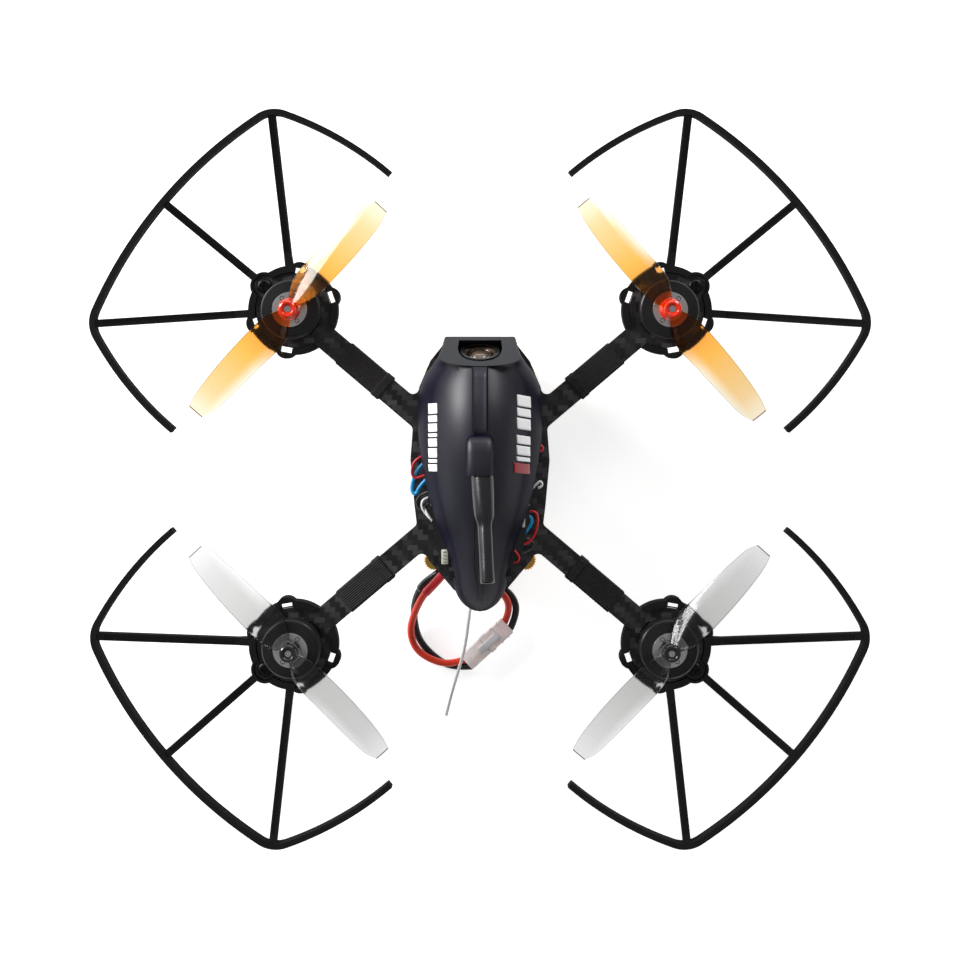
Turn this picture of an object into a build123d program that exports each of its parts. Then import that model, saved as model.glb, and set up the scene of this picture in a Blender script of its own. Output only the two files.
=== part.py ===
"""Palm-sized FPV racing drone with bumper guards, millimetres.

Frame: the origin is on the ground below the middle of the four motors. +Z is up and
+Y is the way the drone flies, so the camera looks towards +Y and +X is its right side.

Each piece is a separate solid, as it would come apart on a bench.
"""

from build123d import *
import os
from math import cos, radians, sin, tan

os.makedirs("parts", exist_ok=True)

# ------------------------------------------------------------------ driving dimensions

motor_x = 45.0  # sideways distance of each motor axis from the middle
motor_y = 40.4  # fore and aft distance of each motor axis from the middle
pod_angle = 40.3  # direction of an arm, from the X axis
pods = {"fl": (-1, 1), "fr": (1, 1), "rl": (-1, -1), "rr": (1, -1)}

foot_height = 1.6
deck_bottom = foot_height
deck_thickness = 1.5
deck_top = deck_bottom + deck_thickness
plate_bottom = 16.0
plate_thickness = 2.0
plate_top = plate_bottom + plate_thickness

arm_width = 5.8
arm_reach = 44.0  # the arm's length from the motor axis into the middle plate
disc_radius = 9.0  # round end of the arm that carries the motor
lobe_radius = 2.6
guard_screw_offset = 9.0  # from the motor axis, outwards

standoff_x = 10.6
standoff_front_y = 24.9
standoff_rear_y = -19.9
standoff_radius = 1.9
standoff_places = [
    (side * standoff_x, y) for side in (-1, 1) for y in (standoff_front_y, standoff_rear_y)
]
canopy_screw_places = [(-7.5, 28.4), (7.5, 28.4), (0, -26.3)]
post_places = [(x, y) for x in (-7, 7) for y in (6, -14)]

m2_hole = 1.05  # clearance radius for an M2 screw
m2_thread = 1.0
m16_hole = 0.85  # clearance radius for an M1.6 screw
m16_thread = 0.8

# motor
motor_hole_circle = 4.5  # radius of the circle of its four fixing screws
tube_radius = 2.7
bearing_radius = 2.0
shaft_radius = 0.75
bearing_clearance = 0.05
bell_radius = 7.0
bell_inner_radius = 6.3
bell_bottom = 19.9
bell_top = 26.6
stator_bottom = 20.6
stator_top = 23.4
stator_radius = 5.3
tooth_count = 9
magnet_count = 12

# propeller, 65 mm across
prop_bottom = 26.7
prop_top = 31.9
blade_middle = 29.5
# distance from the axis, leading edge, trailing edge, pitch in degrees, thickness
blade_sections = [
    (1.6, -1.4, 1.6, 30, 1.5),
    (3.4, -2.2, 2.9, 32, 1.4),
    (5.5, -2.8, 4.0, 31, 1.2),
    (9.0, -3.2, 4.5, 28, 1.1),
    (14.0, -3.4, 4.2, 23, 1.0),
    (20.0, -3.4, 3.9, 18, 0.9),
    (26.0, -3.1, 3.5, 14, 0.8),
    (30.0, -2.6, 3.0, 12, 0.7),
    (32.5, -1.9, 1.9, 11, 0.6),
]
blade_edge = 0.3  # thickness of the blade's edges
blade_directions = {"fl": 47.8, "fr": 129.5, "rl": 132.8, "rr": 47.9}

# guard
guard_bottom = 14.2
guard_ring_top = 18.8
rim_bottom = 23.4
rim_height = 3.8
rim_width = 1.4
rim_middle_reach = 39.2  # from the motor axis to the rim, straight out
rim_corner = (33.9, 33.2)
rim_end = (2.6, 39.7)
corner_reach = 46.2
rim_corner_radius = 7.0
spoke_width = 1.8

# canopy: distance along Y, half width, height of its top
canopy_sections = [
    (32.7, 8.5, 29.3),
    (28.3, 10.4, 38.5),
    (24.4, 13.4, 41.0),
    (18.0, 14.8, 43.2),
    (12.0, 15.0, 44.0),
    (5.0, 14.5, 43.6),
    (-2.6, 13.1, 41.8),
    (-10.0, 11.1, 38.6),
    (-16.0, 8.9, 35.2),
    (-22.0, 7.2, 31.6),
    (-27.0, 6.0, 28.0),
    (-30.0, 4.4, 24.5),
    (-31.7, 2.0, 21.2),
]
canopy_wall = 1.1

# camera
camera_pivot = (0, 23.35, 30.6)
camera_tilt = 25  # how far the lens looks up, degrees
camera_size = 11.4
lens_radius = 4.6
lens_front = 8.0  # from the pivot to the front of the lens barrel

# video antenna
antenna_root = Vector(0.2, 8.0, 42.6)
antenna_tip = Vector(1.7, -21.4, 50.2)
sleeve_radius = 2.6
sleeve_neck_radius = 1.65
coax_radius = 1.0

# electronics
board_bottom = 22.0
board_thickness = 1.2
board_top = board_bottom + board_thickness
vtx_bottom = 28.5
vtx_thickness = 1.0

# battery
battery_half_width = 11.5
battery_front = 22.5
battery_rear = -17.5
battery_bottom = deck_top
battery_top = 14.5

# free cords: each is a list of points from where it leaves the object to its far end
lead_diameter = 1.75
lead_red_route = [
    (-7.6, -21.9, 14.7),
    (-10.4, -25.5, 13.4),
    (-13.9, -29.2, 10.6),
    (-16.2, -34.0, 6.9),
    (-17.6, -39.2, 3.7),
    (-16.1, -44.1, 2.5),
    (-11.5, -46.9, 2.9),
    (-7.0, -47.6, 2.9),
    (-3.5, -46.4, 2.4),
]
lead_black_route = [
    (-7.6, -21.9, 12.3),
    (-10.8, -24.3, 11.5),
    (-14.5, -27.2, 9.2),
    (-16.3, -31.7, 5.6),
    (-16.5, -36.7, 2.2),
    (-15.4, -41.8, 0.95),
    (-11.9, -45.8, 0.95),
    (-7.2, -48.8, 1.1),
    (-2.0, -48.2, 2.2),
]
pack_red_route = [
    (-8.0, -17.4, 9.2),
    (-7.8, -21.4, 9.2),
    (-5.3, -25.0, 9.1),
    (-0.9, -27.0, 8.7),
    (3.9, -27.9, 7.8),
    (6.8, -30.6, 6.2),
    (7.3, -34.4, 4.2),
    (6.0, -37.4, 2.4),
]
pack_black_route = [
    (-7.6, -17.4, 5.6),
    (-7.4, -21.4, 5.6),
    (-4.9, -25.0, 5.6),
    (-0.5, -26.9, 5.5),
    (4.4, -27.4, 5.3),
    (8.2, -30.2, 4.7),
    (9.4, -34.6, 3.6),
    (7.6, -38.7, 2.4),
]
antenna_wire_diameter = 0.8
antenna_wire_route = [
    (-1.9, -19.6, 23.7),
    (-1.9, -23.3, 23.9),
    (-1.9, -27.0, 22.6),
    (-2.0, -28.7, 18.9),
    (-2.4, -32.0, 14.4),
    (-2.9, -36.4, 10.6),
    (-3.4, -40.6, 7.6),
    (-4.2, -44.8, 6.2),
    (-5.5, -49.2, 5.2),
    (-6.5, -53.0, 2.4),
    (-7.6, -57.2, 0.6),
    (-8.5, -60.9, 0.4),
]
connector_middle = (1.75, -42.4)
connector_angle = 42.4  # direction of the mated pair on the ground, degrees


# ------------------------------------------------------------------ shared shapes


def pod_plane(side, end):
    """The ground plane under one motor. Its X runs outwards along the arm."""
    outward = Vector(side * cos(radians(pod_angle)), end * sin(radians(pod_angle)), 0)
    return Plane(origin=(side * motor_x, end * motor_y, 0), x_dir=outward, z_dir=(0, 0, 1))


def pod_point(side, end, outward, sideways=0.0):
    """A point beside one motor as X and Y of the drone."""
    place = pod_plane(side, end).from_local_coords(Vector(outward, sideways, 0))
    return (place.X, place.Y)


def pod_direction(side, end):
    """Direction of one arm outwards, degrees from the X axis."""
    return pod_angle * side * end + (180 if side < 0 else 0)


def facing_down(x, y, z):
    """A plane that looks at the ground, for a screw put in from below."""
    return Plane(origin=(x, y, z), x_dir=(1, 0, 0), z_dir=(0, 0, -1))


def facing_up(x, y, z):
    return Plane(origin=(x, y, z), x_dir=(1, 0, 0), z_dir=(0, 0, 1))


def add_screw(seat, head_radius, head_height, shank_radius, shank_length):
    """A pan-head cross screw. The seat is under its head and faces out of it."""
    side_view = Plane(
        origin=seat.origin, x_dir=seat.x_dir, z_dir=seat.x_dir.cross(seat.z_dir)
    )
    crown = (head_radius * 0.55, head_height)
    with BuildSketch(side_view) as profile:
        with BuildLine():
            Polyline(
                crown,
                (0, head_height),
                (0, -shank_length),
                (shank_radius, -shank_length),
                (shank_radius, 0),
                (head_radius, 0),
                (head_radius, head_height * 0.4),
            )
            ThreePointArc(
                (head_radius, head_height * 0.4),
                (head_radius * 0.86, head_height * 0.83),
                crown,
            )
        make_face()
    revolve(profile.sketch, axis=Axis(seat.origin, seat.z_dir))
    slot_depth = head_height * 0.5
    with BuildSketch(seat.offset(head_height - slot_depth)) as cross:
        Rectangle(head_radius * 1.1, head_radius * 0.28)
        Rectangle(head_radius * 0.28, head_radius * 1.1)
    extrude(cross.sketch, amount=slot_depth * 2, mode=Mode.SUBTRACT)


def corner_radii(route):
    """The largest arcs that the runs of a cord's route leave room for."""
    radii = []
    for before, here, after in zip(route, route[1:], route[2:]):
        arriving = Vector(*here) - Vector(*before)
        leaving = Vector(*after) - Vector(*here)
        half_turn = radians(arriving.get_angle(leaving)) / 2
        radii.append(0.45 * min(arriving.length, leaving.length) / tan(half_turn))
    return radii


def build_cord(name, route, diameter):
    """A round cord of straight runs joined by tangent arcs."""
    radii = corner_radii(route)
    start = Vector(*route[0])
    with BuildPart() as cord:
        with BuildLine() as path:
            FilletPolyline(*route, radius=radii)
        with BuildSketch(Plane(origin=start, z_dir=Vector(*route[1]) - start)):
            Circle(diameter / 2)
        sweep()
    cord.part.label = name
    export_step(cord.part, f"parts/{name}.step")
    length = path.wires()[0].length
    section = 3.14159 * diameter**2 / 4
    print(
        name,
        "length",
        round(length, 1),
        "volume over section times length",
        round(cord.part.volume / (section * length), 3),
        "radii",
        [round(radius, 1) for radius in radii],
    )


# ------------------------------------------------------------------ main plate and arms

plate_edge = [
    (0, 33.0),
    (8.2, 33.0),
    (12.0, 28.2),
    (14.6, 22.0),
    (16.0, 15.0),
    (16.8, 4.3),
    (15.8, -6.8),
    (14.8, -15.0),
    (12.3, -20.0),
    (6.4, -27.0),
    (4.4, -28.4),
    (0, -28.4),
]
# where the arms meet the middle of the plate, right side
arm_roots = [(15.4, 19.2), (16.2, 12.2), (15.3, -11.3), (13.6, -17.5)]
arm_root_fillet = 1.5
disc_fillet = 0.8
wire_slot = (3.6, 1.3)
wire_slot_inner = -6.4  # beside the motor
wire_slot_outer = -45.5  # below the flight board

with BuildPart() as main_plate:
    with BuildSketch(Plane.XY.offset(plate_bottom)) as plate_outline:
        with BuildLine():
            Polyline(*plate_edge)
            mirror(about=Plane.YZ)
        make_face()
        for side, end in pods.values():
            with Locations((side * motor_x, end * motor_y)):
                Circle(disc_radius)
                Rectangle(
                    arm_reach,
                    arm_width,
                    rotation=pod_direction(side, end),
                    align=(Align.MAX, Align.CENTER),
                )
            with Locations(pod_point(side, end, guard_screw_offset)):
                Circle(lobe_radius)
        for side in (-1, 1):
            for x, y in arm_roots:
                root = plate_outline.vertices().sort_by_distance((side * x, y, 0))[0]
                fillet(root, arm_root_fillet)
        for side, end in pods.values():
            for edge in (-1, 1):
                meet_x = -((disc_radius**2 - (arm_width / 2) ** 2) ** 0.5)
                x, y = pod_point(side, end, meet_x, edge * arm_width / 2)
                corner = plate_outline.vertices().sort_by_distance((x, y, 0))[0]
                fillet(corner, disc_fillet)
        with Locations(canopy_screw_places + post_places):
            Circle(m2_hole, mode=Mode.SUBTRACT)
        for side, end in pods.values():
            direction = pod_direction(side, end)
            with Locations((side * motor_x, end * motor_y)):
                Circle(2.3, mode=Mode.SUBTRACT)
            with Locations(pod_point(side, end, guard_screw_offset)):
                Circle(m2_hole, mode=Mode.SUBTRACT)
            for turn in (45, 135, 225, 315):
                outward = motor_hole_circle * cos(radians(turn))
                sideways = motor_hole_circle * sin(radians(turn))
                with Locations(pod_point(side, end, outward, sideways)):
                    Circle(m16_hole, mode=Mode.SUBTRACT)
            for offset in (wire_slot_inner, wire_slot_outer):
                with Locations(pod_point(side, end, offset)):
                    SlotOverall(*wire_slot, rotation=direction + 90, mode=Mode.SUBTRACT)
    extrude(amount=plate_thickness)
    with BuildSketch(Plane.XY.offset(plate_bottom)):
        with Locations(standoff_places):
            Circle(m16_thread)
    extrude(amount=1.4, mode=Mode.SUBTRACT)
main_plate.part.label = "main_plate"
export_step(main_plate.part, "parts/main_plate.step")

# ------------------------------------------------------------------ lower deck and battery

strap_y = 3.0
strap_width = 10.0
strap_thickness = 0.6
strap_half_width = battery_half_width + 0.1

with BuildPart() as lower_deck:
    with BuildSketch(Plane.XY.offset(deck_bottom)):
        with Locations(standoff_places):
            Circle(2.3)
        make_hull()
        for side in (-1, 1):
            with Locations((side * (strap_half_width + 2), strap_y)):
                Rectangle(4, strap_width + 1, mode=Mode.SUBTRACT)
        with Locations((0, 14.5), (0, -9.5)):
            SlotOverall(13, 5, mode=Mode.SUBTRACT)
        with Locations(standoff_places):
            Circle(m16_hole, mode=Mode.SUBTRACT)
    extrude(amount=deck_thickness)
lower_deck.part.label = "lower_deck"
export_step(lower_deck.part, "parts/lower_deck.step")

with BuildPart() as deck_standoffs:
    with BuildSketch(Plane.XY.offset(deck_top)):
        with Locations(standoff_places):
            Circle(standoff_radius)
    extrude(amount=plate_bottom - deck_top)
    with BuildSketch(Plane.XY.offset(plate_bottom)):
        with Locations(standoff_places):
            Circle(m16_thread)
    extrude(amount=1.3)
    with BuildSketch(Plane.XY.offset(deck_top)):
        with Locations(standoff_places):
            Circle(m16_thread)
    extrude(amount=6.0, mode=Mode.SUBTRACT)
deck_standoffs.part.label = "deck_standoffs"
export_step(deck_standoffs.part, "parts/deck_standoffs.step")

with BuildPart() as deck_screws:
    for x, y in standoff_places:
        add_screw(facing_down(x, y, deck_bottom), 1.5, 0.9, m16_thread, 6.0)
deck_screws.part.label = "deck_screws"
export_step(deck_screws.part, "parts/deck_screws.step")

with BuildPart() as rubber_feet:
    with BuildSketch():
        with Locations((-9.4, 16.5), (9.4, 16.5), (-9.4, -11.5), (9.4, -11.5)):
            Circle(2.4)
    extrude(amount=foot_height)
    chamfer(rubber_feet.faces().filter_by(Axis.Z).group_by(Axis.Z)[0].edges(), 0.3)
rubber_feet.part.label = "rubber_feet"
export_step(rubber_feet.part, "parts/rubber_feet.step")

with BuildPart() as battery_pack:
    with BuildSketch(Plane.XY.offset(battery_bottom)):
        with Locations((0, (battery_front + battery_rear) / 2)):
            RectangleRounded(2 * battery_half_width, battery_front - battery_rear, 1.5)
    extrude(amount=battery_top - battery_bottom)
    fillet(battery_pack.edges().filter_by(Axis.Y), 1.2)
battery_pack.part.label = "battery_pack"
export_step(battery_pack.part, "parts/battery_pack.step")

with BuildPart() as battery_strap:
    strap_plane = Plane(origin=(0, strap_y + strap_width / 2, 0), x_dir=(-1, 0, 0), z_dir=(0, 1, 0))
    with BuildSketch(strap_plane):
        with Locations((0, (deck_bottom + battery_top) / 2)):
            inside_height = battery_top - deck_bottom
            RectangleRounded(
                2 * (strap_half_width + strap_thickness),
                inside_height + 2 * strap_thickness,
                1.2,
            )
            Rectangle(2 * strap_half_width, inside_height, mode=Mode.SUBTRACT)
    extrude(amount=-strap_width)
battery_strap.part.label = "battery_strap"
export_step(battery_strap.part, "parts/battery_strap.step")

# ------------------------------------------------------------------ motors

with BuildPart() as motor_bases:
    for side, end in pods.values():
        pod = pod_plane(side, end)
        with BuildSketch(pod.offset(plate_top)):
            Circle(6.4)
            Circle(bearing_radius, mode=Mode.SUBTRACT)
            with PolarLocations(motor_hole_circle, 4, start_angle=45):
                Circle(m16_thread, mode=Mode.SUBTRACT)
            with Locations((wire_slot_inner, 0)):
                Rectangle(2.4, wire_slot[0], mode=Mode.SUBTRACT)
        extrude(amount=1.3)
        with BuildSketch(pod.offset(plate_top + 1.3)):
            Circle(tube_radius)
            Circle(bearing_radius, mode=Mode.SUBTRACT)
        extrude(amount=5.1)
motor_bases.part.label = "motor_bases"
export_step(motor_bases.part, "parts/motor_bases.step")

with BuildPart() as motor_bearings:
    for side, end in pods.values():
        pod = pod_plane(side, end)
        for height in (plate_top + 0.7, plate_top + 4.7):
            with BuildSketch(pod.offset(height)):
                Circle(bearing_radius)
                Circle(shaft_radius + bearing_clearance, mode=Mode.SUBTRACT)
            extrude(amount=1.6)
motor_bearings.part.label = "motor_bearings"
export_step(motor_bearings.part, "parts/motor_bearings.step")

with BuildPart() as stator_cores:
    for side, end in pods.values():
        pod = pod_plane(side, end)
        with BuildSketch(pod.offset(stator_bottom)):
            Circle(stator_radius)
            Circle(4.75, mode=Mode.SUBTRACT)
            with PolarLocations(stator_radius, tooth_count, start_angle=20):
                Rectangle(2.0, 0.9, mode=Mode.SUBTRACT)
            with PolarLocations(3.9, tooth_count):
                Rectangle(2.2, 0.8)
            Circle(3.3)
            Circle(tube_radius, mode=Mode.SUBTRACT)
        extrude(amount=stator_top - stator_bottom)
stator_cores.part.label = "stator_cores"
export_step(stator_cores.part, "parts/stator_cores.step")

with BuildPart() as stator_windings:
    coil_middle = (stator_bottom + stator_top) / 2
    for side, end in pods.values():
        pod = pod_plane(side, end)
        for tooth in range(tooth_count):
            turn = radians(360 * tooth / tooth_count)
            along = pod.from_local_coords(Vector(cos(turn), sin(turn), 0)) - pod.origin
            start = pod.origin + along * 3.4 + Vector(0, 0, coil_middle)
            with BuildSketch(Plane(origin=start, x_dir=(0, 0, 1), z_dir=along)):
                RectangleRounded(3.9, 1.7, 0.3)
                Rectangle(stator_top - stator_bottom, 0.8, mode=Mode.SUBTRACT)
            extrude(amount=1.25)
stator_windings.part.label = "stator_windings"
export_step(stator_windings.part, "parts/stator_windings.step")

with BuildPart() as motor_screws:
    for side, end in pods.values():
        for turn in (45, 135, 225, 315):
            outward = motor_hole_circle * cos(radians(turn))
            sideways = motor_hole_circle * sin(radians(turn))
            x, y = pod_point(side, end, outward, sideways)
            add_screw(facing_down(x, y, plate_bottom), 1.4, 0.8, m16_thread, 3.2)
motor_screws.part.label = "motor_screws"
export_step(motor_screws.part, "parts/motor_screws.step")

bell_profile = [
    (shaft_radius, 24.5),
    (1.5, 24.5),
    (1.5, 24.9),
    (bell_inner_radius, 24.9),
    (bell_inner_radius, bell_bottom),
    (bell_radius, bell_bottom),
    (bell_radius, 25.0),
    (6.7, 25.3),
    (5.9, 25.4),
    (5.9, 25.8),
    (5.1, 25.9),
    (5.1, 26.2),
    (4.2, 26.3),
    (4.2, bell_top),
    (shaft_radius, bell_top),
]


def build_bell(name, pod):
    side_view = Plane(origin=pod.origin, x_dir=pod.x_dir, z_dir=pod.x_dir.cross(pod.z_dir))
    with BuildPart() as bell:
        with BuildSketch(side_view):
            with BuildLine():
                Polyline(*bell_profile, close=True)
            make_face()
        revolve(axis=Axis(pod.origin, pod.z_dir))
        with BuildSketch(pod.offset(bell_top)):
            with PolarLocations(2.85, 2, start_angle=90):
                Circle(0.55)
        extrude(amount=-1.0, mode=Mode.SUBTRACT)
    bell.part.label = name
    export_step(bell.part, f"parts/{name}.step")


def build_magnets(name, pod):
    with BuildPart() as magnets:
        with BuildSketch(pod.offset(stator_bottom - 0.4)):
            Circle(bell_inner_radius)
            Circle(5.65, mode=Mode.SUBTRACT)
            with PolarLocations(6.0, magnet_count):
                Rectangle(1.2, 0.4, mode=Mode.SUBTRACT)
        extrude(amount=3.8)
    magnets.part.label = name
    export_step(magnets.part, f"parts/{name}.step")


def build_shaft(name, pod):
    """The motor shaft, and the clip that keeps it from lifting out."""
    with BuildPart() as shaft:
        with BuildSketch(pod.offset(plate_top + 0.1)):
            Circle(shaft_radius)
        extrude(amount=prop_top - plate_top - 0.6)
        with BuildSketch(pod.offset(plate_top + 0.2)):
            Circle(1.4)
            Circle(shaft_radius, mode=Mode.SUBTRACT)
            with Locations((1.2, 0)):
                Rectangle(1.6, 0.5, mode=Mode.SUBTRACT)
        extrude(amount=0.3)
    shaft.part.label = name
    export_step(shaft.part, f"parts/{name}.step")


def build_propeller(name, pod, direction, turns):
    """Two blades on a hub. turns is -1 for a clockwise propeller, seen from above."""
    axis_point = Vector(pod.origin.X, pod.origin.Y, blade_middle)
    side_view = Plane(origin=pod.origin, x_dir=(1, 0, 0), z_dir=(0, -1, 0))
    with BuildPart() as propeller:
        for half in (0, 180):
            angle = radians(direction + half)
            outward = Vector(cos(angle), sin(angle), 0)
            sideways = Vector(-sin(angle), cos(angle), 0)
            for reach, leading, trailing, pitch, thickness in blade_sections:
                station = Plane(
                    origin=axis_point + outward * reach, x_dir=sideways, z_dir=outward
                )
                slope = tan(radians(pitch))
                middle = (leading + trailing) / 2
                chord = [(leading, -leading * slope), (trailing, -trailing * slope)]
                camber = 0.08 * (trailing - leading)
                crown = -middle * slope + camber
                lifts = (-blade_edge / 2, blade_edge / 2)
                front = [(-turns * chord[0][0], chord[0][1] + lift) for lift in lifts]
                back = [(-turns * chord[1][0], chord[1][1] + lift) for lift in lifts]
                with BuildSketch(station):
                    with BuildLine():
                        Line(front[0], front[1])
                        ThreePointArc(front[1], (-turns * middle, crown + thickness / 2), back[1])
                        Line(back[1], back[0])
                        ThreePointArc(back[0], (-turns * middle, crown - thickness / 2), front[0])
                    make_face()
            loft()
        with BuildSketch(side_view):
            with BuildLine():
                Polyline(
                    (1.5, prop_top),
                    (0, prop_top),
                    (0, prop_bottom),
                    (3.3, prop_bottom),
                    (3.3, prop_bottom + 1.2),
                    (2.9, prop_bottom + 1.7),
                    (2.1, prop_bottom + 1.9),
                    (2.1, prop_top - 0.6),
                )
                RadiusArc((2.1, prop_top - 0.6), (1.5, prop_top), -0.6)
            make_face()
        revolve(axis=Axis(pod.origin, (0, 0, 1)))
        with BuildSketch(pod.offset(prop_bottom)):
            Circle(shaft_radius)
        extrude(amount=prop_top - prop_bottom, mode=Mode.SUBTRACT)
    propeller.part.label = name
    export_step(propeller.part, f"parts/{name}.step")


# ------------------------------------------------------------------ guards


def build_guard(name, pod):
    """A bumper guard: a cup round the motor disc, three spokes and a bowed rim."""
    with BuildPart() as guard:
        with BuildSketch(pod.offset(rim_bottom)):
            with BuildLine(mode=Mode.PRIVATE):
                end_left = rim_end
                end_right = (rim_end[0], -rim_end[1])
                corner_left = rim_corner
                corner_right = (rim_corner[0], -rim_corner[1])
                outer = (rim_middle_reach, 0)
                front_bow = ThreePointArc(corner_left, outer, corner_right)
                left_bow = ThreePointArc(end_left, (18.9, 38.0), corner_left)
                right_bow = ThreePointArc(corner_right, (18.9, -38.0), end_right)
                bends = [left_bow @ 1, right_bow @ 0]
            rim_path = Wire([left_bow, front_bow, right_bow])
            bend_points = [rim_path.vertices().sort_by_distance(bend)[0] for bend in bends]
            trace(rim_path.fillet_2d(rim_corner_radius, bend_points), line_width=rim_width)
        extrude(amount=rim_height)
        for turn, reach in ((0, rim_middle_reach), (44.4, corner_reach), (-44.4, corner_reach)):
            along = pod.from_local_coords(Vector(cos(radians(turn)), sin(radians(turn)), 0))
            along = along - pod.origin
            spoke_view = Plane(origin=pod.origin, x_dir=along, z_dir=along.cross(Vector(0, 0, 1)))
            rise = 7.3 / (reach - 13.7)
            with BuildSketch(spoke_view):
                with BuildLine():
                    Polyline(
                        (9.8, guard_bottom + 0.6),
                        (9.8, guard_ring_top - 0.2),
                        (13.5, 18.9),
                        (reach, 26.2),
                        (reach, 23.6),
                        (13.5, 16.3),
                        (11.5, guard_bottom + 0.6),
                        close=True,
                    )
                make_face()
            extrude(amount=spoke_width / 2, both=True)
            with BuildSketch(spoke_view):
                with BuildLine():
                    Polyline(
                        (14.2, 18.6),
                        (reach - 2.0, 18.6 + rise * (reach - 16.2)),
                        (reach - 2.0, 28.0),
                        (14.2, 20.5),
                        close=True,
                    )
                make_face()
            extrude(amount=0.5, both=True, mode=Mode.SUBTRACT)
        with BuildSketch(pod.offset(guard_bottom)):
            Circle(10.8)
            with Locations((guard_screw_offset, 0)):
                Circle(3.4)
            for turn in (60, 120, 240, 300):
                with Locations((9.2 * cos(radians(turn)), 9.2 * sin(radians(turn)))):
                    Circle(2.6)
        extrude(amount=guard_ring_top - guard_bottom)
        with BuildSketch(pod.offset(guard_bottom)):
            Circle(6.8)
            for turn in (60, 120, 240, 300):
                with Locations((9.65 * cos(radians(turn)), 9.65 * sin(radians(turn)))):
                    Rectangle(1.3, 3.0, rotation=turn)
        extrude(amount=6.0, mode=Mode.SUBTRACT)
        with BuildSketch(pod.offset(plate_bottom)):
            Circle(disc_radius + 0.15)
            with Locations((guard_screw_offset, 0)):
                Circle(lobe_radius + 0.15)
            Rectangle(14, arm_width + 0.3, align=(Align.MAX, Align.CENTER))
        extrude(amount=3.6, mode=Mode.SUBTRACT)
        with BuildSketch(pod.offset(plate_bottom - 1.0)):
            Rectangle(14, wire_slot[0], align=(Align.MAX, Align.CENTER))
        extrude(amount=3.6, mode=Mode.SUBTRACT)
        with BuildSketch(pod.offset(guard_bottom)):
            with Locations((guard_screw_offset, 0)):
                Circle(m2_thread)
        extrude(amount=3.0, mode=Mode.SUBTRACT)
    guard.part.label = name
    export_step(guard.part, f"parts/{name}.step")


for name, (side, end) in pods.items():
    pod = pod_plane(side, end)
    clockwise = side * end < 0
    build_bell(f"bell_{name}", pod)
    build_magnets(f"magnets_{name}", pod)
    build_shaft(f"rotor_shaft_{name}", pod)
    build_propeller(
        f"propeller_{name}", pod, blade_directions[name], -1 if clockwise else 1
    )
    build_guard(f"guard_{name}", pod)

with BuildPart() as guard_screws:
    for side, end in pods.values():
        x, y = pod_point(side, end, guard_screw_offset)
        add_screw(facing_up(x, y, plate_top), 1.8, 1.3, m2_thread, 3.6)
guard_screws.part.label = "guard_screws"
export_step(guard_screws.part, "parts/guard_screws.step")

# ------------------------------------------------------------------ arm wrapping and motor wires

motor_wire_radius = 0.4
motor_wire_height = plate_bottom - motor_wire_radius - 0.05
motor_wire_gap = 1.05

with BuildPart() as motor_wires:
    for side, end in pods.values():
        pod = pod_plane(side, end)
        for lane in (-1, 0, 1):
            route = [
                pod.from_local_coords(Vector(x, lane * motor_wire_gap, z))
                for x, z in (
                    (wire_slot_inner, plate_top + 1.2),
                    (wire_slot_inner, motor_wire_height),
                    (wire_slot_outer, motor_wire_height),
                    (wire_slot_outer, board_bottom - 0.1),
                )
            ]
            with BuildLine():
                FilletPolyline(*route, radius=0.9)
            with BuildSketch(Plane(origin=route[0], z_dir=(0, 0, -1))):
                Circle(motor_wire_radius)
            sweep()
motor_wires.part.label = "motor_wires"
export_step(motor_wires.part, "parts/motor_wires.step")

tape_near = -15.9  # from the motor axis, along the arm
tape_far = -29.4
tape_width = 7.0
tape_bottom = motor_wire_height - motor_wire_radius - 0.55
tape_top = plate_top + 0.5

with BuildPart() as arm_tapes:
    for side, end in pods.values():
        start = pod_plane(side, end).from_local_coords(Vector(tape_far, 0, 0))
        along = pod_plane(side, end).x_dir
        cross = Plane(origin=start, x_dir=along.cross(Vector(0, 0, 1)), z_dir=along)
        upright = 1 if cross.y_dir.Z > 0 else -1
        inside_bottom = motor_wire_height - motor_wire_radius - 0.05
        with BuildSketch(cross):
            with Locations((0, upright * (tape_bottom + tape_top) / 2)):
                RectangleRounded(tape_width, tape_top - tape_bottom, 0.8)
            with Locations((0, upright * (inside_bottom + plate_top) / 2)):
                Rectangle(arm_width, plate_top - inside_bottom, mode=Mode.SUBTRACT)
        extrude(amount=tape_near - tape_far)
arm_tapes.part.label = "arm_tapes"
export_step(arm_tapes.part, "parts/arm_tapes.step")

# ------------------------------------------------------------------ canopy


def add_arch_loft(sections, bottom):
    """A tapering tunnel of half-ellipse sections that stand on one level."""
    arches = []
    for y, half_width, top in sections:
        # a plane that looks forwards, with Z as its vertical
        station = Plane(origin=(0, y, bottom), x_dir=(-1, 0, 0), z_dir=(0, 1, 0))
        with BuildSketch(station) as arch:
            with BuildLine():
                EllipticalCenterArc(
                    center=(0, 0),
                    x_radius=half_width,
                    y_radius=top - bottom,
                    start_angle=0,
                    arc_size=180,
                )
                Line((-half_width, 0), (half_width, 0))
            make_face()
        arches.append(arch.sketch)
    loft(arches)


socket_side = [(3.1, 40.0), (3.1, 47.2), (9.3, 46.5), (11.6, 44.4), (11.6, 40.0)]
rib_side = [(28.0, 36.0), (28.0, 39.6), (18.0, 44.1), (11.6, 44.9), (11.6, 36.0)]
screw_boss_height = 2.9


def camera_plane(tilt):
    """The plane across the camera's line of sight at a tilt above the horizon."""
    sight = (0, cos(radians(tilt)), sin(radians(tilt)))
    return Plane(origin=camera_pivot, x_dir=(1, 0, 0), z_dir=sight)


camera_axis = camera_plane(camera_tilt)
sleeve_axis = Plane(origin=antenna_root, z_dir=antenna_tip - antenna_root)

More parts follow.
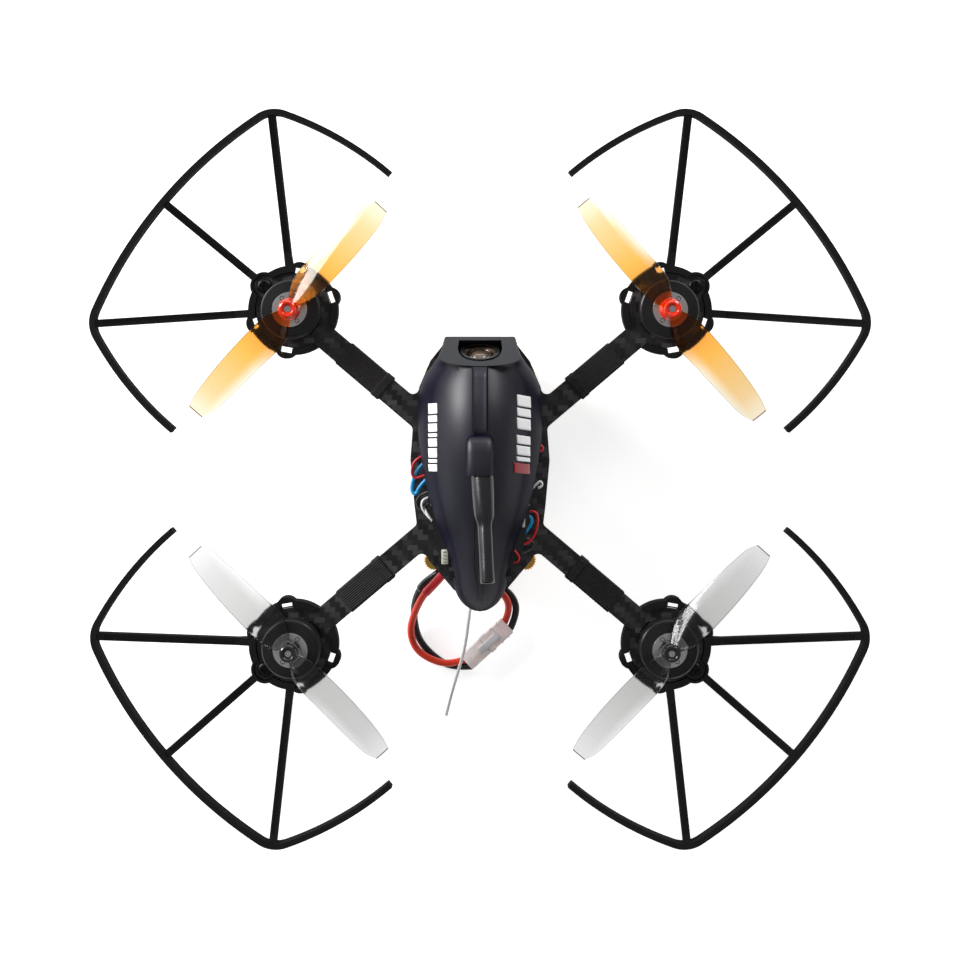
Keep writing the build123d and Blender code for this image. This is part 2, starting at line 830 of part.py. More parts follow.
hollow_sections = [
    (min(31.4, max(y, -30.2)), half_width - canopy_wall, top - canopy_wall)
    for y, half_width, top in canopy_sections[:-1]
]

with BuildPart(mode=Mode.PRIVATE) as canopy_hollow:
    add_arch_loft(hollow_sections, plate_top - 1.0)

with BuildPart() as canopy:
    add_arch_loft(canopy_sections, plate_top)
    with BuildSketch(Plane.YZ):
        with BuildLine():
            Polyline(*socket_side, close=True)
        make_face()
    extrude(amount=3.5, both=True)
    with BuildSketch(Plane.YZ):
        with BuildLine():
            Polyline(*rib_side, close=True)
        make_face()
    extrude(amount=1.65, both=True)
    add(canopy_hollow.part, mode=Mode.SUBTRACT)
    with BuildSketch(Plane.XY.offset(plate_top)):
        with Locations(canopy_screw_places[:2]):
            Circle(2.0)
        with Locations(canopy_screw_places[2]):
            Circle(1.9)
            Rectangle(10.4, 1.4)
    extrude(amount=screw_boss_height)
    # openings along both sides, for the boards and wires
    with BuildSketch(Plane.YZ):
        with Locations((-7.8, 20.6)):
            RectangleRounded(31.4, 9.2, 2.0)
    extrude(amount=20, both=True, mode=Mode.SUBTRACT)
    # the window for the camera, open to the front
    with BuildSketch(camera_axis):
        Circle(5.15)
        Rectangle(10.4, 9.4, align=(Align.CENTER, Align.MAX))
    extrude(amount=16, mode=Mode.SUBTRACT)
    for lower_tilt in (camera_tilt - 6.5, camera_tilt - 13.0):
        with BuildSketch(camera_plane(lower_tilt)) as lower_window:
            Circle(5.15)
        extrude(lower_window.sketch, amount=16, mode=Mode.SUBTRACT)
    # the seat of the antenna sleeve, and the way up to it
    with BuildSketch(sleeve_axis.offset(0.4)):
        Circle(sleeve_radius + 0.1)
    extrude(amount=12, mode=Mode.SUBTRACT)
    with BuildSketch(Plane.XY.offset(38.0)):
        with Locations((antenna_root.X, antenna_root.Y - 0.5)):
            Circle(2.0)
    extrude(amount=5.4, mode=Mode.SUBTRACT)
    with BuildSketch(Plane.XY.offset(plate_top)):
        with Locations(canopy_screw_places):
            Circle(m2_thread)
    extrude(amount=4.0, mode=Mode.SUBTRACT)
canopy.part.label = "canopy"
export_step(canopy.part, "parts/canopy.step")

with BuildPart() as canopy_screws:
    for x, y in canopy_screw_places:
        add_screw(facing_down(x, y, plate_bottom), 1.7, 0.9, m2_thread, 5.5)
canopy_screws.part.label = "canopy_screws"
export_step(canopy_screws.part, "parts/canopy_screws.step")

# ------------------------------------------------------------------ electronics

board_edge = [
    (0, 12.0),
    (9.0, 12.0),
    (12.4, 8.0),
    (12.4, -5.5),
    (9.6, -19.8),
    (8.4, -21.0),
    (0, -21.0),
]

with BuildPart() as board_posts:
    with BuildSketch(Plane.XY.offset(plate_top)):
        with Locations(post_places):
            RegularPolygon(1.9, 6)
    extrude(amount=board_bottom - plate_top)
    with BuildSketch(Plane.XY.offset(board_top)):
        with Locations([place for place in post_places if place[1] > 0]):
            RegularPolygon(1.6, 6)
    extrude(amount=vtx_bottom - board_top)
    with BuildSketch(Plane.XY.offset(board_top)):
        with Locations([place for place in post_places if place[1] < 0]):
            RegularPolygon(1.9, 6)
    extrude(amount=1.4)
    with BuildSketch(Plane.XY.offset(vtx_bottom + vtx_thickness)):
        with Locations([place for place in post_places if place[1] > 0]):
            Circle(1.6)
    extrude(amount=1.2)
    with BuildSketch(Plane.XY.offset(plate_bottom)):
        with Locations(post_places):
            Circle(m2_thread)
    extrude(amount=board_top - plate_bottom + 0.5)
    with BuildSketch(Plane.XY.offset(board_top)):
        with Locations([place for place in post_places if place[1] > 0]):
            Circle(m2_thread)
    extrude(amount=vtx_bottom + vtx_thickness - board_top + 0.5)
board_posts.part.label = "board_posts"
export_step(board_posts.part, "parts/board_posts.step")

with BuildPart() as flight_board:
    with BuildSketch(Plane.XY.offset(board_bottom)):
        with BuildLine():
            Polyline(*board_edge)
            mirror(about=Plane.YZ)
        make_face()
        with Locations(post_places):
            Circle(m2_hole, mode=Mode.SUBTRACT)
    extrude(amount=board_thickness)
flight_board.part.label = "flight_board"
export_step(flight_board.part, "parts/flight_board.step")

# width, length, height and place of each soldered part
chips = [
    (5.0, 5.0, 0.9, 0.0, 2.0),
    (3.0, 3.0, 0.8, -4.6, -8.0),
    (3.0, 3.0, 0.8, 4.6, -8.0),
    (2.2, 3.4, 1.6, 0.0, -16.0),
    (7.0, 4.8, 2.4, 0.0, 9.0),
    (1.6, 2.6, 1.0, 10.6, -2.0),
    (1.6, 2.6, 1.0, -10.6, 3.0),
]
with BuildPart() as board_chips:
    for width, length, height, x, y in chips:
        with BuildSketch(Plane.XY.offset(board_top)):
            with Locations((x, y)):
                Rectangle(width, length)
        extrude(amount=height)
board_chips.part.label = "board_chips"
export_step(board_chips.part, "parts/board_chips.step")

with BuildPart() as wire_connector:
    with BuildSketch(Plane.XY.offset(board_top)):
        with Locations((-8.2, -18.4)):
            Rectangle(2.4, 3.8)
        with Locations((9.6, -9.2)):
            Rectangle(2.4, 4.4)
    extrude(amount=1.8)
    chamfer(wire_connector.faces().sort_by(Axis.Z)[-2:].edges(), 0.25)
wire_connector.part.label = "wire_connector"
export_step(wire_connector.part, "parts/wire_connector.step")

with BuildPart() as vtx_board:
    with BuildSketch(Plane.XY.offset(vtx_bottom)):
        with Locations((0, 0.75)):
            RectangleRounded(17.4, 15.5, 0.8)
        with Locations((-7, 6), (7, 6)):
            Circle(m2_hole, mode=Mode.SUBTRACT)
    extrude(amount=vtx_thickness)
    with BuildSketch(Plane.XY.offset(vtx_bottom + vtx_thickness)):
        with Locations((0, 0)):
            Rectangle(9, 8)
    extrude(amount=1.8)
vtx_board.part.label = "vtx_board"
export_step(vtx_board.part, "parts/vtx_board.step")

# ------------------------------------------------------------------ camera

ear_thickness = 1.2
ear_inside = camera_size / 2 + 0.5
pivot_hole = 1.0
camera_screw_radius = 0.95

with BuildPart() as camera_cradle:
    with BuildSketch(Plane.XY.offset(plate_top)):
        with Locations((0, 22.6)):
            Rectangle(2 * (ear_inside + ear_thickness), 6.6)
        with Locations((0, 22.6)):
            Rectangle(8, 3, mode=Mode.SUBTRACT)
    extrude(amount=1.2)
    for side in (-1, 1):
        inner_face = Plane(origin=(side * ear_inside, 0, 0), x_dir=(0, side, 0), z_dir=(side, 0, 0))
        with BuildSketch(inner_face):
            with Locations((side * camera_pivot[1], camera_pivot[2])):
                Circle(3.0)
            with Locations((side * camera_pivot[1], (plate_top + camera_pivot[2]) / 2)):
                Rectangle(6.0, camera_pivot[2] - plate_top)
            with Locations((side * camera_pivot[1], camera_pivot[2])):
                Circle(pivot_hole, mode=Mode.SUBTRACT)
        extrude(amount=ear_thickness)
camera_cradle.part.label = "camera_cradle"
export_step(camera_cradle.part, "parts/camera_cradle.step")

with BuildPart() as camera_body:
    with BuildSketch(camera_axis.offset(-4.6)):
        RectangleRounded(camera_size, camera_size, 1.0)
    extrude(amount=8.2)
    with BuildSketch(Plane.YZ.offset(-camera_size / 2)):
        with Locations((camera_pivot[1], camera_pivot[2])):
            Circle(camera_screw_radius)
    extrude(amount=2.5, mode=Mode.SUBTRACT)
    with BuildSketch(Plane.YZ.offset(camera_size / 2)):
        with Locations((camera_pivot[1], camera_pivot[2])):
            Circle(camera_screw_radius)
    extrude(amount=-2.5, mode=Mode.SUBTRACT)
camera_body.part.label = "camera_body"
export_step(camera_body.part, "parts/camera_body.step")

with BuildPart() as camera_lens:
    with BuildSketch(camera_axis.offset(3.6)):
        Circle(lens_radius)
    extrude(amount=lens_front - 3.6)
    with BuildSketch(camera_axis.offset(lens_front)):
        Circle(lens_radius - 0.6)
    extrude(amount=-1.2, mode=Mode.SUBTRACT)
camera_lens.part.label = "camera_lens"
export_step(camera_lens.part, "parts/camera_lens.step")

with BuildPart() as camera_glass:
    with BuildSketch(camera_axis.offset(lens_front - 1.2)):
        Circle(lens_radius - 0.7)
    extrude(amount=1.0)
    fillet(camera_glass.edges().sort_by(Axis(camera_axis.origin, camera_axis.z_dir))[-1], 0.8)
camera_glass.part.label = "camera_glass"
export_step(camera_glass.part, "parts/camera_glass.step")

with BuildPart() as camera_screws:
    for side in (-1, 1):
        outside = side * (ear_inside + ear_thickness + 0.05)
        seat = Plane(
            origin=(outside, camera_pivot[1], camera_pivot[2]), x_dir=(0, 1, 0), z_dir=(side, 0, 0)
        )
        add_screw(seat, 1.7, 1.1, camera_screw_radius, 3.6)
camera_screws.part.label = "camera_screws"
export_step(camera_screws.part, "parts/camera_screws.step")

# ------------------------------------------------------------------ video antenna

sleeve_length = (antenna_tip - antenna_root).length
sleeve_start = 1.7
sleeve_view = Plane(origin=sleeve_axis.origin, x_dir=sleeve_axis.x_dir, z_dir=sleeve_axis.y_dir * -1)

with BuildPart() as antenna_sleeve:
    with BuildSketch(sleeve_view):
        with BuildLine():
            Polyline(
                (coax_radius + 0.1, sleeve_start),
                (sleeve_radius, sleeve_start),
                (sleeve_radius, 7.0),
                (2.3, 15.6),
                (1.85, 16.9),
                (sleeve_neck_radius, 18.2),
                (sleeve_neck_radius, sleeve_length),
                (coax_radius + 0.1, sleeve_length),
                close=True,
            )
        make_face()
    revolve(axis=Axis(sleeve_axis.origin, sleeve_axis.z_dir))
antenna_sleeve.part.label = "antenna_sleeve"
export_step(antenna_sleeve.part, "parts/antenna_sleeve.step")

with BuildPart() as vtx_antenna:
    coax_start = Vector(antenna_root.X, antenna_root.Y, vtx_bottom + vtx_thickness + 0.05)
    coax_end = antenna_root + sleeve_axis.z_dir * (sleeve_length - 3.0)
    with BuildLine():
        FilletPolyline(coax_start, antenna_root, coax_end, radius=2.0)
    with BuildSketch(Plane(origin=coax_start, z_dir=(0, 0, 1))):
        Circle(coax_radius)
    sweep()
vtx_antenna.part.label = "vtx_antenna"
export_step(vtx_antenna.part, "parts/vtx_antenna.step")

# ------------------------------------------------------------------ signal wires

signal_wire_radius = 0.3
signal_routes = [
    [
        (-12.45, 6.4, 22.6),
        (-14.4, 5.4, 22.9),
        (-16.0, 3.4, 22.6),
        (-16.1, 0.4, 21.9),
        (-14.6, -1.6, 21.7),
        (-12.45, -2.4, 22.6),
    ],
    [
        (-12.45, 4.6, 22.6),
        (-14.2, 3.6, 21.6),
        (-15.4, 1.4, 20.7),
        (-16.1, -1.9, 20.4),
        (-15.3, -4.4, 21.0),
        (-13.6, -4.8, 22.0),
        (-12.45, -4.2, 22.6),
    ],
    [
        (-12.15, -6.9, 22.6),
        (-13.4, -7.6, 22.9),
        (-13.7, -9.4, 22.7),
        (-12.9, -10.9, 22.4),
        (-11.45, -10.6, 22.6),
    ],
    [
        (12.45, -2.4, 22.6),
        (14.2, -1.6, 22.9),
        (15.0, -3.0, 22.6),
        (14.0, -4.4, 22.3),
        (12.45, -4.2, 22.6),
    ],
    [
        (11.85, -8.5, 22.6),
        (13.2, -8.3, 23.6),
        (14.0, -9.9, 23.9),
        (13.8, -12.4, 23.4),
        (12.4, -14.4, 22.9),
        (10.75, -14.6, 22.6),
    ],
    [
        (11.55, -10.1, 22.6),
        (12.7, -10.4, 21.7),
        (12.9, -11.9, 21.3),
        (12.2, -13.2, 21.7),
        (11.0, -13.2, 22.6),
    ],
]
with BuildPart() as signal_wires:
    for route in signal_routes:
        with BuildLine():
            FilletPolyline(*route, radius=corner_radii(route))
        with BuildSketch(Plane(origin=route[0], z_dir=Vector(*route[1]) - Vector(*route[0]))):
            Circle(signal_wire_radius)
        sweep()
signal_wires.part.label = "signal_wires"
export_step(signal_wires.part, "parts/signal_wires.step")

# ------------------------------------------------------------------ power leads

build_cord("lead_red", lead_red_route, lead_diameter)
build_cord("lead_black", lead_black_route, lead_diameter)
build_cord("pack_lead_red", pack_red_route, lead_diameter)
build_cord("pack_lead_black", pack_black_route, lead_diameter)
build_cord("receiver_antenna", antenna_wire_route, antenna_wire_diameter)

# the clamp that both leads come out of, below the plate
clamp_heading = Vector(-0.6, -0.8, 0)
with BuildPart() as lead_clamp:
    clamp_face = Plane(origin=(-7.5, -21.7, 13.5), x_dir=(0.8, -0.6, 0), z_dir=clamp_heading)
    with BuildSketch(clamp_face):
        with Locations((0.3, 0)):
            RectangleRounded(3.4, 5.0, 0.4)
    extrude(amount=-3.0)
lead_clamp.part.label = "lead_clamp"
export_step(lead_clamp.part, "parts/lead_clamp.step")


def add_sleeve(route, length):
    """Heat-shrink tube over the straight start of a lead."""
    start = Vector(*route[0])
    heading = (Vector(*route[1]) - start).normalized()
    with BuildSketch(Plane(origin=start + heading * 0.6, z_dir=heading)) as ring:
        Circle(1.1)
        Circle(lead_diameter / 2, mode=Mode.SUBTRACT)
    extrude(ring.sketch, amount=length)


with BuildPart() as lead_sleeves:
    add_sleeve(lead_red_route, 2.4)
    add_sleeve(lead_black_route, 1.9)
lead_sleeves.part.label = "lead_sleeves"
export_step(lead_sleeves.part, "parts/lead_sleeves.step")

# ------------------------------------------------------------------ battery connector

heading_x = cos(radians(connector_angle))
heading_y = sin(radians(connector_angle))
connector_axis = Plane(
    origin=(connector_middle[0], connector_middle[1], 2.3),
    x_dir=(heading_y, -heading_x, 0),
    z_dir=(heading_x, heading_y, 0),
)
cavity_depth = 3.4

with BuildPart() as lead_socket:
    with BuildSketch(connector_axis.offset(-6.95)):
        RectangleRounded(4.6, 4.4, 0.5)
    extrude(amount=6.3)
    with BuildSketch(connector_axis.offset(-0.65)):
        Rectangle(3.4, 3.2)
    extrude(amount=-cavity_depth, mode=Mode.SUBTRACT)
lead_socket.part.label = "lead_socket"
export_step(lead_socket.part, "parts/lead_socket.step")

with BuildPart() as pack_plug:
    with BuildSketch(connector_axis.offset(-0.6)):
        RectangleRounded(5.0, 4.6, 0.5)
    extrude(amount=7.5)
    with BuildSketch(connector_axis.offset(-0.6)):
        Rectangle(3.2, 3.0)
    extrude(amount=-cavity_depth + 0.2)
pack_plug.part.label = "pack_plug"
export_step(pack_plug.part, "parts/pack_plug.step")
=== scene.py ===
"""Looks of a palm-sized FPV racing drone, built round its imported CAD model. Metres, Z up, +Y forward."""

import bpy
import bmesh
from math import asin, atan2, cos, pi, radians, sin, sqrt, tan
from mathutils import Matrix, Vector


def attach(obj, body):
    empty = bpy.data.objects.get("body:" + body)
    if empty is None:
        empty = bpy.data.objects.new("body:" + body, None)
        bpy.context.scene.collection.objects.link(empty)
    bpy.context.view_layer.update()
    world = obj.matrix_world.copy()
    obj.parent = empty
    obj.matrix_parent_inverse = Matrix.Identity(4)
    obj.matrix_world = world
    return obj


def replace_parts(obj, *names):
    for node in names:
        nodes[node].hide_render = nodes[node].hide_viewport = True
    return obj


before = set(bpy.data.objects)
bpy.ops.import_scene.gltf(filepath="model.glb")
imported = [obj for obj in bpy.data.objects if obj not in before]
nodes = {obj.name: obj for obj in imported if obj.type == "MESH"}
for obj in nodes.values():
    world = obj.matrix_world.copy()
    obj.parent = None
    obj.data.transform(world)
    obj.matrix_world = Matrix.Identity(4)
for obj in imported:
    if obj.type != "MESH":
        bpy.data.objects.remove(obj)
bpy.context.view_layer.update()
scene = bpy.context.scene
MM = 0.001

# shared measures, in millimetres and degrees
motor_x, motor_y, pod_angle = 45.0, 40.4, 40.3
arm_middle = 16.6  # height of the middle of an arm with its wires
board_top = 23.2
canopy_base = 18.0
nose_start = 27.0  # the flat facet of the nose runs forward from here
nose_front = 33.9
camera_pivot = Vector((0, 23.35, 30.6))
camera_tilt = 25.0
camera_stop = 28.2  # the highest tilt, with a little room
blade_middle = 29.5
blade_root, blade_tip = 1.5, 32.5
lead_diameter = 1.75
antenna_diameter = 0.8
pods = {"fl": (-1, 1), "fr": (1, 1), "rl": (-1, -1), "rr": (1, -1)}

# ---- camera

camera = bpy.data.objects.new("camera_view", bpy.data.cameras.new("camera_view"))
scene.collection.objects.link(camera)
camera.data.sensor_width = 36
camera.data.lens = 69.09
camera.data.shift_y = -0.1
camera.location = (0, 0.030, 0.462)
camera.rotation_euler = (radians(-0.948), 0, 0)
camera.data.clip_start = 0.01
camera.data.clip_end = 20
scene.camera = camera
scene.view_settings.view_transform = "Standard"

# ---- making pieces

def v(*p):
    """A point given in millimetres, as metres."""
    return Vector(p) * MM

def new_object(name, data, body="airframe"):
    obj = bpy.data.objects.new(name, data)
    scene.collection.objects.link(obj)
    if body:
        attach(obj, body)
    return obj

def mesh_object(name, verts, faces, body="airframe"):
    """A mesh from points in millimetres."""
    mesh = bpy.data.meshes.new(name)
    mesh.from_pydata([Vector(p) * MM for p in verts], [], faces)
    mesh.validate()
    bm = bmesh.new()
    bm.from_mesh(mesh)
    bmesh.ops.recalc_face_normals(bm, faces=bm.faces)
    bm.to_mesh(mesh)
    bm.free()
    for poly in mesh.polygons:
        poly.use_smooth = True
    return new_object(name, mesh, body)

def ring_faces(rings, count, base=0, caps=True):
    """Faces that join rings of count points each, one after another, and close both ends."""
    faces = []
    for i in range(rings - 1):
        a, b = base + i * count, base + (i + 1) * count
        for k in range(count):
            m = (k + 1) % count
            faces.append((a + k, a + m, b + m, b + k))
    if caps:
        faces.append(tuple(base + k for k in range(count)))
        faces.append(tuple(base + (rings - 1) * count + k for k in range(count)))
    return faces

def slab_faces(columns, rows):
    """Faces of two layers of a grid of points, the upper one first, and of the rim between them."""
    row = columns + 1
    n = row * (rows + 1)
    faces = []
    for j in range(rows):
        for i in range(columns):
            k = j * row + i
            faces.append((k, k + 1, k + row + 1, k + row))
            faces.append((n + k, n + k + row, n + k + row + 1, n + k + 1))
    rim = list(range(row))
    rim += [j * row + columns for j in range(1, rows + 1)]
    rim += [rows * row + i for i in range(columns - 1, -1, -1)]
    rim += [j * row for j in range(rows - 1, 0, -1)]
    for i, k in enumerate(rim):
        m = rim[(i + 1) % len(rim)]
        faces.append((k, m, n + m, n + k))
    return faces

def axes_at(origin, x, y, z):
    """The frame at origin whose axes are x, y and z."""
    return Matrix.Translation(origin) @ Matrix((x, y, z)).transposed().to_4x4()

def ease(before, a, b, after, k, t):
    """Column k between rows a and b, t of the way, with the slopes of the rows round them."""
    left = (b[k] - before[k]) / (b[0] - before[0]) * (b[0] - a[0])
    right = (after[k] - a[k]) / (after[0] - a[0]) * (b[0] - a[0])
    return (
        (2 * t**3 - 3 * t**2 + 1) * a[k]
        + (t**3 - 2 * t**2 + t) * left
        + (3 * t**2 - 2 * t**3) * b[k]
        + (t**3 - t**2) * right
    )

def smooth_by_angle(obj, degrees=35):
    """Smooth shading that keeps the edges sharper than an angle."""
    mesh = obj.data
    for poly in mesh.polygons:
        poly.use_smooth = True
    bm = bmesh.new()
    bm.from_mesh(mesh)
    for edge in bm.edges:
        edge.smooth = len(edge.link_faces) == 2 and edge.calc_face_angle(0) < radians(degrees)
    bm.to_mesh(mesh)
    bm.free()
    return obj

def bevel(obj, width, segments=3, angle=35):
    mod = obj.modifiers.new("bevel", "BEVEL")
    mod.width = width * MM
    mod.segments = segments
    mod.limit_method = "ANGLE"
    mod.angle_limit = radians(angle)
    return obj

def apply_modifiers(obj):
    dg = bpy.context.evaluated_depsgraph_get()
    mesh = bpy.data.meshes.new_from_object(obj.evaluated_get(dg))
    obj.modifiers.clear()
    obj.data = mesh
    return obj

def combine(obj, other, operation="UNION"):
    """Joins other to obj, or takes its shape out of it, and removes other."""
    mod = obj.modifiers.new("combine", "BOOLEAN")
    mod.operation = operation
    mod.solver = "EXACT"
    mod.object = other
    apply_modifiers(obj)
    bpy.data.objects.remove(other)

def cut(obj, cutter):
    combine(obj, cutter, "DIFFERENCE")

def pod_frame(pod):
    """Frame of one motor pod: X outwards along the arm, in millimetres."""
    side, end = pods[pod]
    turn = atan2(end * sin(radians(pod_angle)), side * cos(radians(pod_angle)))
    return Matrix.Translation((side * motor_x, end * motor_y, 0)) @ Matrix.Rotation(turn, 4, "Z")

def lathe(name, profile, place, body="airframe", steps=64, closed=False):
    """profile is (radius, height) pairs in millimetres, turned round the Z axis of place."""
    verts, faces = [], []
    count = len(profile)
    for k in range(steps):
        a = 2 * pi * k / steps
        for r, z in profile:
            verts.append(place @ Vector((r * cos(a), r * sin(a), z)))
    rows = count if closed else count - 1
    for k in range(steps):
        n = (k + 1) % steps
        for i in range(rows):
            j = (i + 1) % count
            faces.append((k * count + i, n * count + i, n * count + j, k * count + j))
    obj = mesh_object(name, verts, faces, body)
    bm = bmesh.new()
    bm.from_mesh(obj.data)
    bmesh.ops.remove_doubles(bm, verts=bm.verts, dist=1e-7)
    bmesh.ops.recalc_face_normals(bm, faces=bm.faces)
    bm.to_mesh(obj.data)
    bm.free()
    return smooth_by_angle(obj, 32)

def tube(name, centres, radii, bore, steps=24):
    """A round sleeve through centres, with a bore of that radius."""
    rings = []
    for i, p in enumerate(centres):
        ahead = (centres[min(i + 1, len(centres) - 1)] - centres[max(i - 1, 0)]).normalized()
        if i == 0:
            side = ahead.orthogonal().normalized()
        side = (side - ahead * side.dot(ahead)).normalized()
        rings.append((p, side, ahead.cross(side)))
    n = len(rings)
    verts, faces = [], []
    for outline in (radii, [bore] * n):
        faces += ring_faces(n, steps, len(verts), caps=False)
        for (p, s, u), r in zip(rings, outline):
            for k in range(steps):
                a = 2 * pi * k / steps
                verts.append(p + s * (r * cos(a)) + u * (r * sin(a)))
    inside = n * steps
    for i in (0, n - 1):
        for k in range(steps):
            a, b = i * steps + k, i * steps + (k + 1) % steps
            faces.append((a, b, inside + b, inside + a))
    return smooth_by_angle(mesh_object(name, verts, faces), 40)

def prism(name, outline, low, high, place=Matrix(), body="airframe"):
    """An outline in place's XY plane, raised from low to high."""
    count = len(outline)
    verts = [place @ Vector((x, y, z)) for z in (low, high) for x, y in outline]
    faces = [tuple(range(count)), tuple(range(count, 2 * count))]
    faces += [(i, (i + 1) % count, count + (i + 1) % count, count + i) for i in range(count)]
    return smooth_by_angle(mesh_object(name, verts, faces, body), 35)

def rounded_box(name, size, place, radius=0.3, body="airframe", segments=3):
    """A box of that size round the origin of place, with rounded edges."""
    x, y, z = (s / 2 for s in size)
    obj = prism(name, [(-x, -y), (x, -y), (x, y), (-x, y)], -z, z, place, body)
    bevel(obj, radius, segments)
    apply_modifiers(obj)
    return smooth_by_angle(obj, 40)

# ---- free cords

routes = {
    "lead_red": [
        (-7.6, -21.9, 14.7), (-10.4, -25.5, 13.4), (-13.9, -29.2, 10.6), (-16.2, -34.0, 6.9),
        (-17.6, -39.2, 3.7), (-16.1, -44.1, 2.5), (-11.5, -46.9, 2.9), (-7.0, -47.6, 2.9),
        (-3.5, -46.4, 2.4),
    ],
    "lead_black": [
        (-7.6, -21.9, 12.3), (-10.8, -24.3, 11.5), (-14.5, -27.2, 9.2), (-16.3, -31.7, 5.6),
        (-16.5, -36.7, 2.2), (-15.4, -41.8, 0.95), (-11.9, -45.8, 0.95), (-7.2, -48.8, 1.1),
        (-2.0, -48.2, 2.2),
    ],
    "pack_lead_red": [
        (-8.0, -17.4, 9.2), (-7.8, -21.4, 9.2), (-5.3, -25.3, 9.1), (-0.9, -27.5, 8.8),
        (4.1, -28.3, 7.9), (6.8, -30.6, 6.2), (7.3, -34.4, 4.2), (6.0, -37.4, 2.4),
    ],
    "pack_lead_black": [
        (-7.6, -17.4, 5.6), (-7.4, -21.4, 5.6), (-4.9, -25.0, 5.6), (-0.5, -26.9, 5.5),
        (4.4, -27.4, 5.3), (8.2, -30.2, 4.7), (9.4, -34.6, 3.6), (7.6, -38.7, 2.4),
    ],
    "receiver_antenna": [
        (-1.9, -19.6, 23.7), (-1.9, -23.3, 23.9), (-1.9, -27.0, 22.6), (-2.0, -28.7, 18.9),
        (-2.4, -32.0, 14.4), (-2.9, -36.4, 10.6), (-3.4, -40.6, 7.6), (-4.2, -44.8, 6.2),
        (-5.5, -49.2, 5.2), (-6.5, -53.0, 2.4), (-7.6, -57.2, 0.6), (-8.5, -60.9, 0.4),
    ],
}

def nurbs(name, points, diameter, body="airframe"):
    curve = bpy.data.curves.new(name, "CURVE")
    curve.dimensions = "3D"
    spline = curve.splines.new("NURBS")
    spline.points.add(len(points) - 1)
    for point, place in zip(spline.points, points):
        point.co = (*v(*place), 1)
        point.radius = diameter / 2 * MM
    spline.order_u = 3
    spline.use_endpoint_u = True
    curve.resolution_u = 12
    curve.bevel_depth = 1.0
    curve.bevel_resolution = 6
    curve.use_fill_caps = True
    return new_object(name, curve, body)

def centreline(curve_object):
    """Points along a curve's own line, in millimetres."""
    plain = curve_object.data.copy()
    plain.bevel_depth = 0
    probe = bpy.data.objects.new("probe", plain)
    scene.collection.objects.link(probe)
    bpy.context.view_layer.update()
    dg = bpy.context.evaluated_depsgraph_get()
    mesh = bpy.data.meshes.new_from_object(probe.evaluated_get(dg))
    points = [vertex.co / MM for vertex in mesh.vertices]
    bpy.data.objects.remove(probe)
    return points

def stretch(points, start, end):
    """The part of a line from start to end, measured along it."""
    found, walked = [], 0.0
    for a, b in zip(points, points[1:]):
        step = (b - a).length
        if walked + step >= start and walked <= end:
            if not found:
                found.append(a.lerp(b, max(0.0, (start - walked) / step)))
            found.append(a.lerp(b, min(1.0, (end - walked) / step)))
        walked += step
    return found

cords = {}
lines = {}
for name, route in routes.items():
    diameter = antenna_diameter if name == "receiver_antenna" else lead_diameter
    cords[name] = nurbs(name + "_cord", route, diameter)
    lines[name] = centreline(cords[name])
    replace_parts(cords[name], name)

# ---- materials

